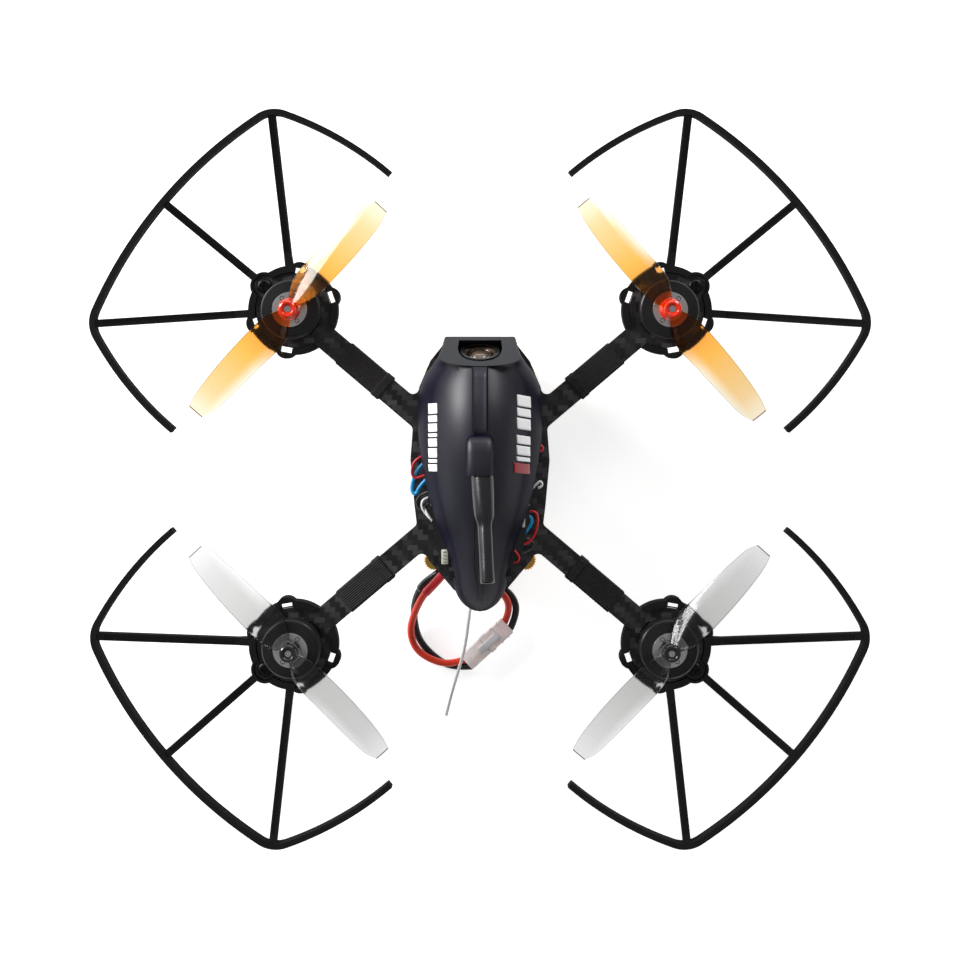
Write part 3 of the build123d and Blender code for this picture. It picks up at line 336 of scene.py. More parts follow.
class Material:
    """A node material with a Principled shader and short ways to wire it."""

    def __init__(self, name, color, rough=0.5, metal=0.0, **sockets):
        self.mat = bpy.data.materials.new(name)
        self.mat.use_nodes = True
        self.tree = self.mat.node_tree
        self.shader = self.tree.nodes["Principled BSDF"]
        self.put("Base Color", (*color, 1))
        self.put("Roughness", rough)
        self.put("Metallic", metal)
        for key, value in sockets.items():
            self.put(key.replace("_", " "), value)
        self.coords = None

    def put(self, socket, value):
        self.shader.inputs[socket].default_value = value

    def node(self, kind, inputs=(), **settings):
        n = self.tree.nodes.new(kind)
        for key, value in settings.items():
            setattr(n, key, value)
        for key, value in dict(inputs).items():
            if isinstance(value, bpy.types.NodeSocket):
                self.tree.links.new(value, n.inputs[key])
            else:
                n.inputs[key].default_value = value
        return n

    def times(self, vector, factors):
        return self.node("ShaderNodeVectorMath", {0: vector, 1: factors}, operation="MULTIPLY").outputs[0]

    def position(self):
        """Place on the object, in millimetres."""
        if self.coords is None:
            here = self.node("ShaderNodeTexCoord").outputs["Object"]
            self.coords = self.times(here, (1 / MM,) * 3)
        return self.coords

    def math(self, operation, a, b=0.0):
        return self.node("ShaderNodeMath", {0: a, 1: b}, operation=operation).outputs[0]

    def noise(self, scale, detail=3.0, rough=0.5, stretched=(1, 1, 1)):
        place = self.times(self.position(), stretched)
        inputs = {"Vector": place, "Scale": scale, "Detail": detail, "Roughness": rough}
        return self.node("ShaderNodeTexNoise", inputs).outputs["Fac"]

    def ramp(self, value, stops):
        n = self.node("ShaderNodeValToRGB", {"Fac": value})
        while len(n.color_ramp.elements) < len(stops):
            n.color_ramp.elements.new(0.5)
        for element, (at, color) in zip(n.color_ramp.elements, stops):
            element.position = at
            element.color = (*color, 1)
        return n.outputs["Color"]

    def between(self, value, low, high):
        """Maps 0..1 to low..high."""
        inputs = {"Value": value, "To Min": low, "To Max": high}
        return self.node("ShaderNodeMapRange", inputs).outputs[0]

    def share(self, value, start, end):
        """Maps start..end to 0..1."""
        inputs = {"Value": value, "From Min": start, "From Max": end}
        return self.node("ShaderNodeMapRange", inputs).outputs[0]

    def mix(self, fac, a, b):
        n = self.node("ShaderNodeMix", data_type="RGBA")
        for key, value in ((0, fac), (6, a), (7, b)):
            if isinstance(value, bpy.types.NodeSocket):
                self.tree.links.new(value, n.inputs[key])
            else:
                n.inputs[key].default_value = value if key == 0 else (*value[:3], 1)
        return n.outputs[2]

    def link(self, output, socket):
        self.tree.links.new(output, self.shader.inputs[socket])

    def bump(self, height, strength=0.3, distance=0.05):
        inputs = {"Height": height, "Strength": strength, "Distance": distance * MM}
        self.link(self.node("ShaderNodeBump", inputs).outputs[0], "Normal")

def vary_color(m, amount, color, vary):
    """Base colour a share darker to a share lighter, as amount goes from 0 to 1."""
    dark = [c * (1 - vary) for c in color]
    light = [min(1, c * (1 + vary)) for c in color]
    m.link(m.mix(amount, dark, light), "Base Color")

def moulded(name, color, rough=0.45, vary=0.25, grain=6.0, bump=0.15, **sockets):
    """Moulded plastic or paint with a little unevenness in tone, gloss and surface."""
    m = Material(name, color, rough, **sockets)
    vary_color(m, m.noise(0.35, 4), color, vary)
    m.link(m.between(m.noise(1.3, 5), max(0.02, rough - 0.08), rough + 0.08), "Roughness")
    m.bump(m.noise(grain, 4), bump, 0.03)
    return m

def metal(name, color, rough=0.3, stretched=(1, 1, 1), vary=0.12, grain=5.0):
    m = Material(name, color, rough, 1.0)
    lines = m.noise(grain, 4, 0.6, stretched)
    vary_color(m, lines, color, vary)
    m.link(m.between(lines, rough - 0.08, rough + 0.12), "Roughness")
    m.bump(lines, 0.1, 0.01)
    return m

def carbon_twill():
    """Two-by-two twill of carbon tows under a satin resin. The warp tows are painted darker and the weft tows
    lighter: a painted sheen of light caught along the fibres.
    """
    m = Material("carbon_twill", (0.03, 0.03, 0.032), 0.36)
    tow = 1.25
    xyz = m.node("ShaderNodeSeparateXYZ", {0: m.position()})
    u = m.math("DIVIDE", xyz.outputs[0], tow)
    w = m.math("DIVIDE", xyz.outputs[1], tow)
    across = m.math("ADD", m.math("FLOOR", u), m.math("FLOOR", w))
    over = m.math("LESS_THAN", m.math("FLOORED_MODULO", across, 4.0), 1.9)
    # every float of a tow has its own shade: they are two cells long
    column = m.math("FLOOR", m.math("DIVIDE", m.math("ADD", w, m.math("FLOOR", u)), 2.0))
    row = m.math("FLOOR", m.math("DIVIDE", m.math("ADD", u, m.math("FLOOR", w)), 2.0))
    along_y = m.node("ShaderNodeCombineXYZ", {0: m.math("FLOOR", u), 1: column}).outputs[0]
    along_x = m.node("ShaderNodeCombineXYZ", {0: row, 1: m.math("FLOOR", w), 2: 7.0}).outputs[0]
    shade_y = m.node("ShaderNodeTexWhiteNoise", {"Vector": along_y}).outputs["Value"]
    shade_x = m.node("ShaderNodeTexWhiteNoise", {"Vector": along_x}).outputs["Value"]
    fine_x = m.noise(9.0, 2, 0.6, (0.08, 1.6, 1))
    fine_y = m.noise(9.0, 2, 0.6, (1.6, 0.08, 1))
    warp_fac = m.math("ADD", m.math("MULTIPLY", fine_y, 0.55), m.math("MULTIPLY", shade_y, 0.45))
    weft_fac = m.math("ADD", m.math("MULTIPLY", fine_x, 0.55), m.math("MULTIPLY", shade_x, 0.45))
    # painted sheen: one carbon given a shaded colour for the warp tows and a lit colour for the weft tows
    warp_in_painted_shade = m.ramp(warp_fac, [(0.2, (0.004, 0.004, 0.005)), (0.8, (0.022, 0.021, 0.023))])
    weft_in_painted_sheen = m.ramp(weft_fac, [(0.2, (0.012, 0.011, 0.012)), (0.8, (0.070, 0.066, 0.068))])
    m.link(m.mix(over, warp_in_painted_shade, weft_in_painted_sheen), "Base Color")
    m.link(m.math("ADD", m.math("MULTIPLY", over, 0.12), 0.34), "Roughness")
    edge_u = m.math("PINGPONG", u, 0.5)
    edge_w = m.math("PINGPONG", w, 0.5)
    crown = m.math("MULTIPLY", m.math("MINIMUM", edge_u, edge_w), 2.0)
    m.bump(m.math("ADD", crown, m.math("MULTIPLY", m.noise(14, 2), 0.4)), 0.25, 0.04)
    return m

def gloss_on_top(m, steep, level, dull, sharp):
    """Less sheen on the steep sides than on what faces up, as under a light from above."""
    normal = m.node("ShaderNodeNewGeometry").outputs["Normal"]
    facing = m.math("ABSOLUTE", m.node("ShaderNodeSeparateXYZ", {0: normal}).outputs[2])
    share = m.share(facing, steep, 0.95)
    m.link(m.between(share, 0.03, level), "Specular IOR Level")
    m.link(m.between(share, dull, sharp), "Roughness")

black_plastic = moulded(
    "guard_plastic", (0.007, 0.007, 0.0075), 0.27, 0.3, 5.0, 0.12, Specular_IOR_Level=0.3
)
gloss_on_top(black_plastic, 0.2, 0.4, 0.8, 0.22)
carbon = carbon_twill()
canopy_paint = moulded(
    "canopy_paint", (0.0062, 0.0058, 0.0150), 0.34, 0.2, 14.0, 0.45, Specular_IOR_Level=0.2
)
gloss_on_top(canopy_paint, 0.45, 0.7, 0.5, 0.42)
nose_paint = moulded("nose_paint", (0.013, 0.014, 0.018), 0.36, 0.15, 9.0, 0.14, Specular_IOR_Level=0.4)
brass = metal("brass_gold", (0.85, 0.5, 0.12), 0.3, (1, 1, 6))
black_steel = metal("black_steel", (0.03, 0.03, 0.032), 0.35)
steel = metal("bright_steel", (0.7, 0.7, 0.72), 0.25, (1, 1, 8))
silver_ring = metal("silver_ring", (0.78, 0.77, 0.76), 0.28, (3, 3, 0.3))
bell_black = moulded("bell_anodised", (0.010, 0.010, 0.011), 0.32, 0.3, 6.0, 0.1, Specular_IOR_Level=0.5)
copper = metal("copper_turns", (0.8, 0.38, 0.18), 0.35, (0.3, 0.3, 9))
lacquer = moulded("stator_lacquer", (0.05, 0.045, 0.045), 0.4)
rubber = moulded("foot_rubber", (0.02, 0.02, 0.02), 0.7, 0.3, 3.0, 0.4)
wrap_film = moulded("battery_film", (0.03, 0.035, 0.06), 0.28, 0.25, 1.2, 0.5)
webbing = moulded("strap_webbing", (0.02, 0.02, 0.021), 0.8, 0.3, 8.0, 0.6)
tape = moulded("wrap_tape", (0.013, 0.011, 0.013), 0.6, 0.5, 9.0, 0.7, Specular_IOR_Level=0.35)
shrink = moulded("heat_shrink", (0.012, 0.012, 0.015), 0.24, 0.25, 2.0, 0.12, Specular_IOR_Level=0.6)
board_mask = moulded("board_mask", (0.012, 0.014, 0.016), 0.3, 0.3, 6.0, 0.2)
chip = moulded("chip_body", (0.02, 0.02, 0.02), 0.5)
solder = metal("solder", (0.75, 0.75, 0.74), 0.3)
cream = moulded("cream_nylon", (0.75, 0.7, 0.58), 0.45, 0.08, 3.0, 0.15, Subsurface_Weight=0.1)
white_nylon = moulded("white_nylon", (0.94, 0.94, 0.94), 0.36, 0.04, 3.0, 0.15, Subsurface_Weight=0.15)
camera_black = moulded("camera_black", (0.012, 0.012, 0.013), 0.38, 0.25, 6.0, 0.2)
lens_ring = metal("lens_ring", (0.46, 0.37, 0.31), 0.32, (1, 1, 1), 0.2)
lens_dark_ring = metal("lens_dark_ring", (0.16, 0.12, 0.10), 0.3, (1, 1, 1), 0.2)
red_silicone = moulded("red_silicone", (0.86, 0.05, 0.02), 0.4, 0.08, 4.0, 0.15)
red_sleeve = moulded("red_sleeve", (0.80, 0.02, 0.035), 0.35, 0.08, 4.0, 0.15)
black_silicone = moulded("black_silicone", (0.014, 0.014, 0.014), 0.42, 0.2, 4.0, 0.15)
coax_white = moulded("coax_white", (0.8, 0.8, 0.79), 0.35, 0.04, 4.0, 0.1)
wire_red = moulded("wire_red", (0.65, 0.02, 0.03), 0.35, 0.1)
wire_blue = moulded("wire_blue", (0.01, 0.30, 0.62), 0.35, 0.1)
wire_white = moulded("wire_white", (0.8, 0.8, 0.8), 0.35, 0.05)
wire_black = moulded("wire_black", (0.015, 0.015, 0.015), 0.35, 0.1)
mark_white = moulded("mark_white", (0.95, 0.95, 0.96), 0.45, 0.05, 9.0, 0.1)
mark_red = moulded("mark_red", (0.34, 0.006, 0.012), 0.45, 0.08, 9.0, 0.1)

def blade_plastic(name, root, tip, edge, edge_shade_color):
    """Clear tinted plastic. The tint is deep at the root and pales towards the tip. A pale painted reflection
    of the bright floor lightens the trailing edge and the tip, and a painted dark line of shade marks the
    edges.
    """
    m = Material(name, root, 0.12, IOR=1.38, Transmission_Weight=1.0, Specular_IOR_Level=0.3)
    xyz = m.node("ShaderNodeSeparateXYZ", {0: m.position()})
    # distance from the nearest motor axis
    dx = m.math("SUBTRACT", m.math("ABSOLUTE", xyz.outputs[0]), motor_x)
    dy = m.math("SUBTRACT", m.math("ABSOLUTE", xyz.outputs[1]), motor_y)
    reach = m.math("SQRT", m.math("ADD", m.math("MULTIPLY", dx, dx), m.math("MULTIPLY", dy, dy)))
    along = m.share(reach, 3.0, 31.0)
    # painted reflection: the "edge" attribute pales the trailing edge and the tip, standing in for the bright
    # floor reflected in the blade
    painted_reflection_amount = m.node("ShaderNodeAttribute", attribute_name="edge").outputs["Fac"]
    body_color = m.ramp(along, [(0.0, root), (0.4, tip[0]), (0.75, tip[1]), (1.0, tip[2])])
    # painted shade: the "outline" attribute draws a dark line along the blade's sides and at its tip
    edge_shade_amount = m.node("ShaderNodeAttribute", attribute_name="outline").outputs["Fac"]
    m.link(m.mix(edge_shade_amount, m.mix(painted_reflection_amount, body_color, edge), edge_shade_color), "Base Color")
    m.bump(m.noise(3.0, 3), 0.05, 0.02)
    return m

orange_tints = ((0.82, 0.44, 0.085), (0.82, 0.56, 0.25), (0.84, 0.66, 0.40))
clear_tints = ((0.54, 0.54, 0.53), (0.60, 0.60, 0.60), (0.68, 0.68, 0.68))
# the third colour is the pale painted reflection of the floor on the trailing edge and tip; the last is the
# painted dark line of shade along the edges
orange_blade = blade_plastic(
    "orange_blade", (0.80, 0.20, 0.006), orange_tints, (0.85, 0.80, 0.68), (0.16, 0.11, 0.05)
)
clear_blade = blade_plastic(
    "clear_blade", (0.45, 0.45, 0.46), clear_tints, (0.76, 0.76, 0.76), (0.14, 0.14, 0.14)
)
orange_hub = moulded("orange_hub", (0.85, 0.03, 0.005), 0.14, 0.15, 3.0, 0.05, Coat_Weight=0.6)
smoke_hub = moulded("smoke_hub", (0.015, 0.015, 0.016), 0.14, 0.15, 3.0, 0.05, Coat_Weight=0.6)
glass = Material("lens_glass", (0.10, 0.07, 0.05), 0.03, Coat_Weight=1.0)
glass_tones = [(0.2, (0.05, 0.03, 0.02)), (0.8, (0.16, 0.11, 0.08))]
glass.link(glass.ramp(glass.noise(0.5, 2), glass_tones), "Base Color")

def coat(obj, material):
    obj.data.materials.clear()
    obj.data.materials.append(material.mat)

def paint(obj, material):
    coat(obj, material)
    return obj

carried = [
    (carbon, ["main_plate", "lower_deck"]),
    (brass, ["deck_standoffs", "board_posts"]),
    (black_steel, [part + "_screws" for part in ("deck", "guard", "motor", "canopy", "camera")]),
    (rubber, ["rubber_feet"]),
    (wrap_film, ["battery_pack"]),
    (webbing, ["battery_strap"]),
    (bell_black, ["motor_bases"] + ["bell_" + pod for pod in pods]),
    (steel, ["motor_bearings"] + [part + pod for part in ("magnets_", "rotor_shaft_") for pod in pods]),
    (lacquer, ["stator_cores"]),
    (copper, ["stator_windings"]),
    (wire_black, ["motor_wires"]),
    (black_plastic, ["lead_clamp"] + ["guard_" + pod for pod in pods]),
    (board_mask, ["flight_board", "vtx_board"]),
    (chip, ["board_chips"]),
    (camera_black, ["camera_body", "camera_cradle", "camera_lens"]),
    (shrink, ["vtx_antenna"]),
]
for material, names in carried:
    for name in names:
        coat(nodes[name], material)

bevels = {"main_plate": 0.12, "lower_deck": 0.12, "camera_body": 0.1, "lead_clamp": 0.1}
bevels.update(("guard_" + pod, 0.22) for pod in pods)
for name, width in bevels.items():
    bevel(nodes[name], width, 2, 40)

paint(cords["lead_red"], red_silicone)
paint(cords["pack_lead_red"], red_silicone)
paint(cords["lead_black"], black_silicone)
paint(cords["pack_lead_black"], black_silicone)
paint(cords["receiver_antenna"], coax_white)

# ---- sleeves on the leads

sleeve_bore = 0.86
sleeve_end = 0.92
sleeve_red = stretch(lines["lead_red"], 0.3, 9.6)
radii = [1.1 + 0.03 * sin(3.1 * i) for i in range(len(sleeve_red) - 1)] + [sleeve_end]
sleeve = paint(tube("lead_sleeve_red", sleeve_red, radii, sleeve_bore), red_sleeve)
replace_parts(sleeve, "lead_sleeves")
sleeve_black = stretch(lines["lead_black"], 0.3, 10.4)
radii = [1.09] * (len(sleeve_black) - 1) + [sleeve_end]
paint(tube("lead_sleeve_black", sleeve_black, radii, sleeve_bore), shrink)

# ---- propellers

# distance from the axis, leading edge, trailing edge, pitch in degrees, thickness
blade_table = [
    (1.6, -1.4, 1.6, 30, 1.5), (3.4, -2.2, 2.9, 32, 1.4), (5.5, -2.8, 4.0, 31, 1.2),
    (9.0, -3.2, 4.5, 28, 1.1), (14.0, -3.4, 4.2, 23, 1.0), (20.0, -3.4, 3.9, 18, 0.9),
    (26.0, -3.1, 3.5, 14, 0.8), (30.0, -2.6, 3.0, 12, 0.7), (32.5, -1.9, 1.9, 11, 0.6),
]
blade_directions = {"fl": 47.8, "fr": 129.5, "rl": 132.8, "rr": 47.9}

def at_reach(r):
    """Leading edge, trailing edge, pitch and thickness at a distance from the axis."""
    rows = blade_table
    for i in range(len(rows) - 1):
        if r <= rows[i + 1][0] + 1e-6:
            a, b = rows[i], rows[i + 1]
            before = rows[max(i - 1, 0)]
            after = rows[min(i + 2, len(rows) - 1)]
            t = (r - a[0]) / (b[0] - a[0])
            return [ease(before, a, b, after, k, t) for k in range(1, 5)]
    return rows[-1][1:]

def propeller_blades(pod):
    side, end = pods[pod]
    turns = -1 if side * end < 0 else 1
    verts, faces, painted_floor_reflection, painted_edge_shade = [], [], [], []
    stations, across = 47, 17
    thinnest = 0.13
    spread = [0, 0.012, 0.026] + [k / 13 for k in range(1, 13)] + [0.974, 0.988, 1]
    for half in (0, 180):
        a = radians(blade_directions[pod] + half)
        out = Vector((cos(a), sin(a), 0))
        sideways = Vector((-sin(a), cos(a), 0))
        axis = Vector((side * motor_x, end * motor_y, blade_middle))
        base = len(verts)
        for s in range(stations + 1):
            if s < stations - 1:
                r = blade_root + (blade_tip - 0.3 - blade_root) * s / (stations - 2)
            else:  # two stations close together hold the painted dark line of shade at the tip
                r = blade_tip - 0.2 * (stations - s)
            lead, trail, pitch, thick = at_reach(max(r, 1.6))
            slope = tan(radians(pitch))
            thick *= 0.72
            row = []
            for layer in (1, -1):
                for k in range(across + 1):
                    t = spread[k] if layer > 0 else spread[across - k]
                    c = lead + (trail - lead) * t
                    camber = 0.08 * (trail - lead) * 4 * t * (1 - t)
                    full = sin(pi * min(1, t * 1.15)) ** 0.6 if t < 0.87 else 0.55 * (1 - t) / 0.13
                    half_thick = thinnest + (thick / 2 - thinnest) * full
                    if layer > 0 and t < 0.06:
                        half_thick += 0.16  # a bead along the leading edge
                    z = -c * slope + camber + layer * half_thick
                    row.append((axis + out * r + sideways * (-turns * c) + Vector((0, 0, z)), t, r))
            for point, t, reach in row:
                verts.append(point)
                # painted reflection: the trailing edge and the tip are paled, standing in for the bright
                # floor reflected in the blade
                reflection_pale = 0.0
                if reach > 8:
                    reflection_pale = max(0.0, (t - 0.62) / 0.38) ** 1.3 * min(1.0, (reach - 8) / 8)
                painted_floor_reflection.append(min(1.0, max(reflection_pale, (reach - 27.0) / 9.0)))
                # painted shade: a dark line along the sides and at the tip, for the edge faces seen at a
                # glancing angle
                at_side = reach > 4 and (t < 0.02 or t > 0.98)
                painted_edge_shade.append(1.0 if reach > blade_tip - 0.25 else 0.6 if at_side else 0.0)
        faces += ring_faces(stations + 1, 2 * (across + 1), base)
    obj = mesh_object("blades_" + pod, verts, faces, "rotor_" + pod)
    for name, values in (("edge", painted_floor_reflection), ("outline", painted_edge_shade)):
        layer = obj.data.attributes.new(name, "FLOAT", "POINT")
        for i, value in enumerate(values):
            layer.data[i].value = value
    return smooth_by_angle(obj, 50)

hub_profile = [(0.78, 26.75), (2.55, 26.75), (2.65, 26.9), (2.62, 27.6), (2.3, 28.0), (2.1, 28.4)]
hub_profile += [(2.08, 31.3), (1.95, 31.65), (1.7, 31.8), (1.35, 31.75), (1.15, 31.4), (0.78, 31.35)]
ring_profile = [(2.3, 26.4), (4.15, 26.4), (4.2, 26.5), (4.1, 26.64), (2.9, 26.68), (2.3, 26.66)]
hole_profile = [(0.0, 0.1), (0.34, 0.1), (0.42, 0.19), (0.52, 0.2), (0.56, 0.14), (0.5, -0.05), (0.0, -0.05)]
hole_reach, hole_height = 3.2, 26.5
for pod, (side, end) in pods.items():
    front = end > 0
    rotor = "rotor_" + pod
    blades = paint(propeller_blades(pod), orange_blade if front else clear_blade)
    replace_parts(blades, "propeller_" + pod)
    place = pod_frame(pod)
    hub = lathe("prop_hub_" + pod, hub_profile, place, rotor, closed=True)
    paint(hub, orange_hub if front else smoke_hub)
    ring = lathe("bell_ring_" + pod, ring_profile, place, rotor, closed=True)
    paint(ring, silver_ring)
    # the two threaded holes for propeller screws
    first = radians(blade_directions[pod] + (76 if side * end < 0 else -76))
    for half in (0, 1):
        a = first + pi * half
        x, y = side * motor_x + hole_reach * cos(a), end * motor_y + hole_reach * sin(a)
        spot = Matrix.Translation((x, y, hole_height))
        hole = lathe("ring_hole_%s_%d" % (pod, half), hole_profile, spot, rotor, 20)
        paint(hole, black_steel)

# ---- tape wrapped round each arm

def rounded_outline(width, height, radius, count):
    """Evenly spaced points with their outward directions round a rounded rectangle."""
    sides = [width - 2 * radius, height - 2 * radius]
    bend = pi * radius / 2
    total = 2 * (sides[0] + sides[1]) + 4 * bend
    found = []
    for k in range(count):
        d = total * k / count
        for quarter in range(4):
            straight = sides[quarter % 2]
            turn = quarter * pi / 2
            out = height if quarter % 2 == 0 else width
            if d <= straight:
                p = Vector((d - straight / 2, -out / 2))
                n = Vector((0, -1))
            elif d <= straight + bend:
                a = (d - straight) / radius
                p = Vector((straight / 2 + radius * sin(a), -out / 2 + radius - radius * cos(a)))
                n = Vector((sin(a), -cos(a)))
            else:
                d -= straight + bend
                continue
            spin = Matrix.Rotation(turn, 2)
            found.append((spin @ p, spin @ n))
            break
    return found

def tape_wrap(pod):
    """A ribbed fabric sleeve over arm and wires, its cut end folded back on itself."""
    place = pod_frame(pod)
    ribs, per_rib = 38, 5
    count = ribs * per_rib
    path = rounded_outline(6.5, 3.7, 0.85, count)
    # place along the arm as x in the motor's frame, and how far the sleeve swells there
    stations = [(-29.35, -0.5), (-29.3, -0.05), (-29.1, 0.02)]
    stations += [(-28.8 + 0.3 * i, 0.03 * sin(2.2 * i)) for i in range(5)]
    stations += [(-27.2, 0.0), (-27.1, -0.16)]
    stations += [(-26.9 + 0.3 * i, -0.17 + 0.025 * sin(2.2 * i)) for i in range(36)]
    stations += [(-16.1, -0.17), (-15.95, -0.2), (-15.9, -0.6)]
    last = len(stations) - 1
    verts = []
    for i, (x, grow) in enumerate(stations):
        for k, (p, n) in enumerate(path):
            rib = 0.11 * cos(2 * pi * k / per_rib)
            fray = 0.12 * sin(k * 1.7) * sin(k * 0.61) if i in (0, 1, last - 1, last) else 0.0
            q = p + n * (grow + rib)
            verts.append(place @ Vector((x + fray, q.x, arm_middle + q.y)))
    faces = ring_faces(len(stations), count)
    return smooth_by_angle(mesh_object("tape_" + pod, verts, faces), 60)

for pod in pods:
    wrap = paint(tape_wrap(pod), tape)
    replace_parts(wrap, "arm_tapes")

for pod in pods:
    place = pod_frame(pod) @ Matrix.Translation((-7.2, 0, 16.4))
    grommet = rounded_box("wire_grommet_" + pod, (2.6, 5.4, 0.9), place, 0.3)
    paint(grommet, rubber)

# ---- canopy

# place along the canopy, half its width
outline = [
    (33.9, 8.4), (29.5, 9.9), (24.4, 13.5), (19.8, 14.6), (14.9, 15.0), (10.1, 14.9), (5.1, 14.5),
    (2.3, 14.0), (-2.6, 13.1), (-9.9, 11.1), (-16.0, 8.9), (-22.0, 7.2), (-26.7, 6.1), (-29.7, 4.6),
    (-31.6, 2.2), (-31.9, 0.3),
]
# place along the canopy, height of its crest
crest = [(33.9, 36.6), (28.3, 39.2), (24.4, 41.0), (18.0, 43.2), (12.0, 44.0), (5.0, 43.6), (-2.6, 41.8)]
crest += [(-10.0, 38.6), (-16.0, 35.2), (-22.0, 31.6), (-27.0, 28.0), (-30.0, 24.9), (-31.5, 22.6)]
crest += [(-31.9, 21.0)]

def eased(rows, at):
    """A smooth curve through rows of (position, value), position falling."""
    for i in range(len(rows) - 1):
        if at >= rows[i + 1][0] or i == len(rows) - 2:
            a, b = rows[i], rows[i + 1]
            before, after = rows[max(i - 1, 0)], rows[min(i + 2, len(rows) - 1)]
            t = min(1, max(0, (at - a[0]) / (b[0] - a[0])))
            return ease(before, a, b, after, 1, t)
    return rows[-1][1]

def smoothstep(low, high, x):
    t = min(1, max(0, (x - low) / (high - low)))
    return t * t * (3 - 2 * t)

def hem(y):
    """Height of the canopy's lower edge: raised along both sides for the boards and wires."""
    return 18.3 + 6.6 * smoothstep(-24.6, -23.0, y) * (1 - smoothstep(6.6, 8.4, y))

def squareness(y):
    """Power of the superellipse across the canopy: 2 is an ellipse, more is boxier."""
    return 2.0 + 1.4 * smoothstep(26.5, 30.0, y)

def nose_plane(y):
    return 38.35 - 1.14 * (y - 28.4)

def shell_point(y, t, lift=0.0):
    """A point of the canopy's outer face. t runs 0 to 1 from the left hem over the top."""
    w = eased(outline, y) + lift
    top = eased(crest, y) + lift
    low = hem(y)
    power = squareness(y)
    rise = (low - canopy_base) / (top - canopy_base)
    start = asin(min(0.95, rise if power < 2.05 else rise ** (power / 2)))
    a = start + (pi - 2 * start) * t
    ca, sa = cos(a), sin(a)
    x = -w * abs(ca) ** (2 / power) * (1 if ca > 0 else -1)
    z = canopy_base + (top - canopy_base) * sa ** (2 / power)
    if y > nose_start:
        z = min(z, nose_plane(y) + lift)
    return Vector((x, y, z))

def skin_height(x, y, lift=0.0):
    """Height of the canopy's outer face over a point of the plan."""
    w = eased(outline, y)
    top = eased(crest, y)
    power = squareness(y)
    z = canopy_base + (top - canopy_base) * max(0.0, 1 - (abs(x) / w) ** power) ** (1 / power)
    if y > nose_start:
        z = min(z, nose_plane(y))
    return z + lift

def canopy_shell():
    tail = -31.9
    ys = []
    y = nose_front
    while y > tail:
        ys.append(y)
        y -= 0.5 if (y > 27 or 5 < y < 9.5 or -25.5 < y < -22 or y < -29) else 1.0
    ys.append(tail)
    across = 72
    verts = [shell_point(y, k / across) for y in ys for k in range(across + 1)]
    faces = []
    n = across + 1
    for i in range(len(ys) - 1):
        for k in range(across):
            faces.append((i * n + k, i * n + k + 1, (i + 1) * n + k + 1, (i + 1) * n + k))
    obj = mesh_object("canopy_shell", verts, faces)
    solid = obj.modifiers.new("wall", "SOLIDIFY")
    solid.thickness = 0.9 * MM
    solid.offset = -1
    solid.use_even_offset = True
    apply_modifiers(obj)
    return obj

canopy = canopy_shell()
# the camera's window in the nose
window = [(-4.9, 33.1), (-5.15, 31.3), (-4.9, 30.2), (-4.2, 29.3), (-3.0, 28.65), (-1.5, 28.35)]
window += [(0, 28.25)]
window += [(-x, y) for x, y in reversed(window[:-1])]

def looking(degrees_up):
    """A frame at the camera's pivot whose z axis is the line of sight."""
    up = radians(degrees_up)
    return axes_at(camera_pivot, (1, 0, 0), (0, sin(up), -cos(up)), (0, cos(up), sin(up)))

look_place = looking(camera_tilt)

def window_cut():
    return prism("window_cut", window, 24.0, 44.0, body=None)

def clear_for_lens(obj):
    """Room under the window for the lens barrel as the camera tilts up to its stop."""
    for degrees_up in (camera_tilt, camera_stop):
        room = [(0, 0), (4.7, 0), (4.7, 8.6), (0, 8.6)]
        cut(obj, lathe("lens_room", room, looking(degrees_up), body=None, steps=64))

cut(canopy, window_cut())
clear_for_lens(canopy)
smooth_by_angle(canopy, 28)
paint(canopy, canopy_paint)
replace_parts(canopy, "canopy")

def decal(name, corners, material, steps):
    """A thin printed patch that follows the canopy. corners go round it, as (x, y) pairs."""
    a, b, c, d = (Vector((*p, 0)) for p in corners)
    verts = []
    columns, rows = steps
    for lift in (0.07, -0.15):
        for j in range(rows + 1):
            for i in range(columns + 1):
                u, w = i / columns, j / rows
                p = a.lerp(b, u).lerp(d.lerp(c, u), w)
                verts.append((p.x, p.y, skin_height(p.x, p.y, lift)))
    paint(mesh_object(name, verts, slab_faces(columns, rows)), material)

def nose_plate():
    """The flat facet that frames the camera's window, a little proud of the shell."""
    rows, columns = 44, 36
    front, back, bend = 33.95, 27.12, 28.9
    verts = []
    for top_side in (True, False):
        for j in range(rows + 1):
            y = front - (front - back) * (j / rows) ** 0.9
            half = 7.9 + 1.3 * min(1, (front - y) / 4.6)
            if y < bend:  # rounded towards the back
                half *= max(0.02, 1 - ((bend - y) / (bend - back)) ** 2.2) ** 0.5
            for i in range(columns + 1):
                x = half * (2 * i / columns - 1)
                low = min(skin_height(x, y), nose_plane(y)) - 0.45
                verts.append((x, y, nose_plane(y) + 0.35 if top_side else low))
    obj = mesh_object("nose_plate", verts, slab_faces(columns, rows))
    cut(obj, window_cut())
    clear_for_lens(obj)
    bevel(obj, 0.16, 3, 50)
    apply_modifiers(obj)
    return smooth_by_angle(obj, 30)

paint(nose_plate(), nose_paint)

# the upright front of the nose, under the plate
front_wall = []
for k in range(49):
    p = shell_point(nose_front, k / 48, -0.25)
    front_wall.append((p.x, min(p.z, nose_plane(nose_front) - 0.2)))
wall_place = Matrix.Translation((0, 33.35, 0)) @ Matrix.Rotation(pi / 2, 4, "X")
paint(prism("nose_front", front_wall, -0.45, 0.45, wall_place), canopy_paint)

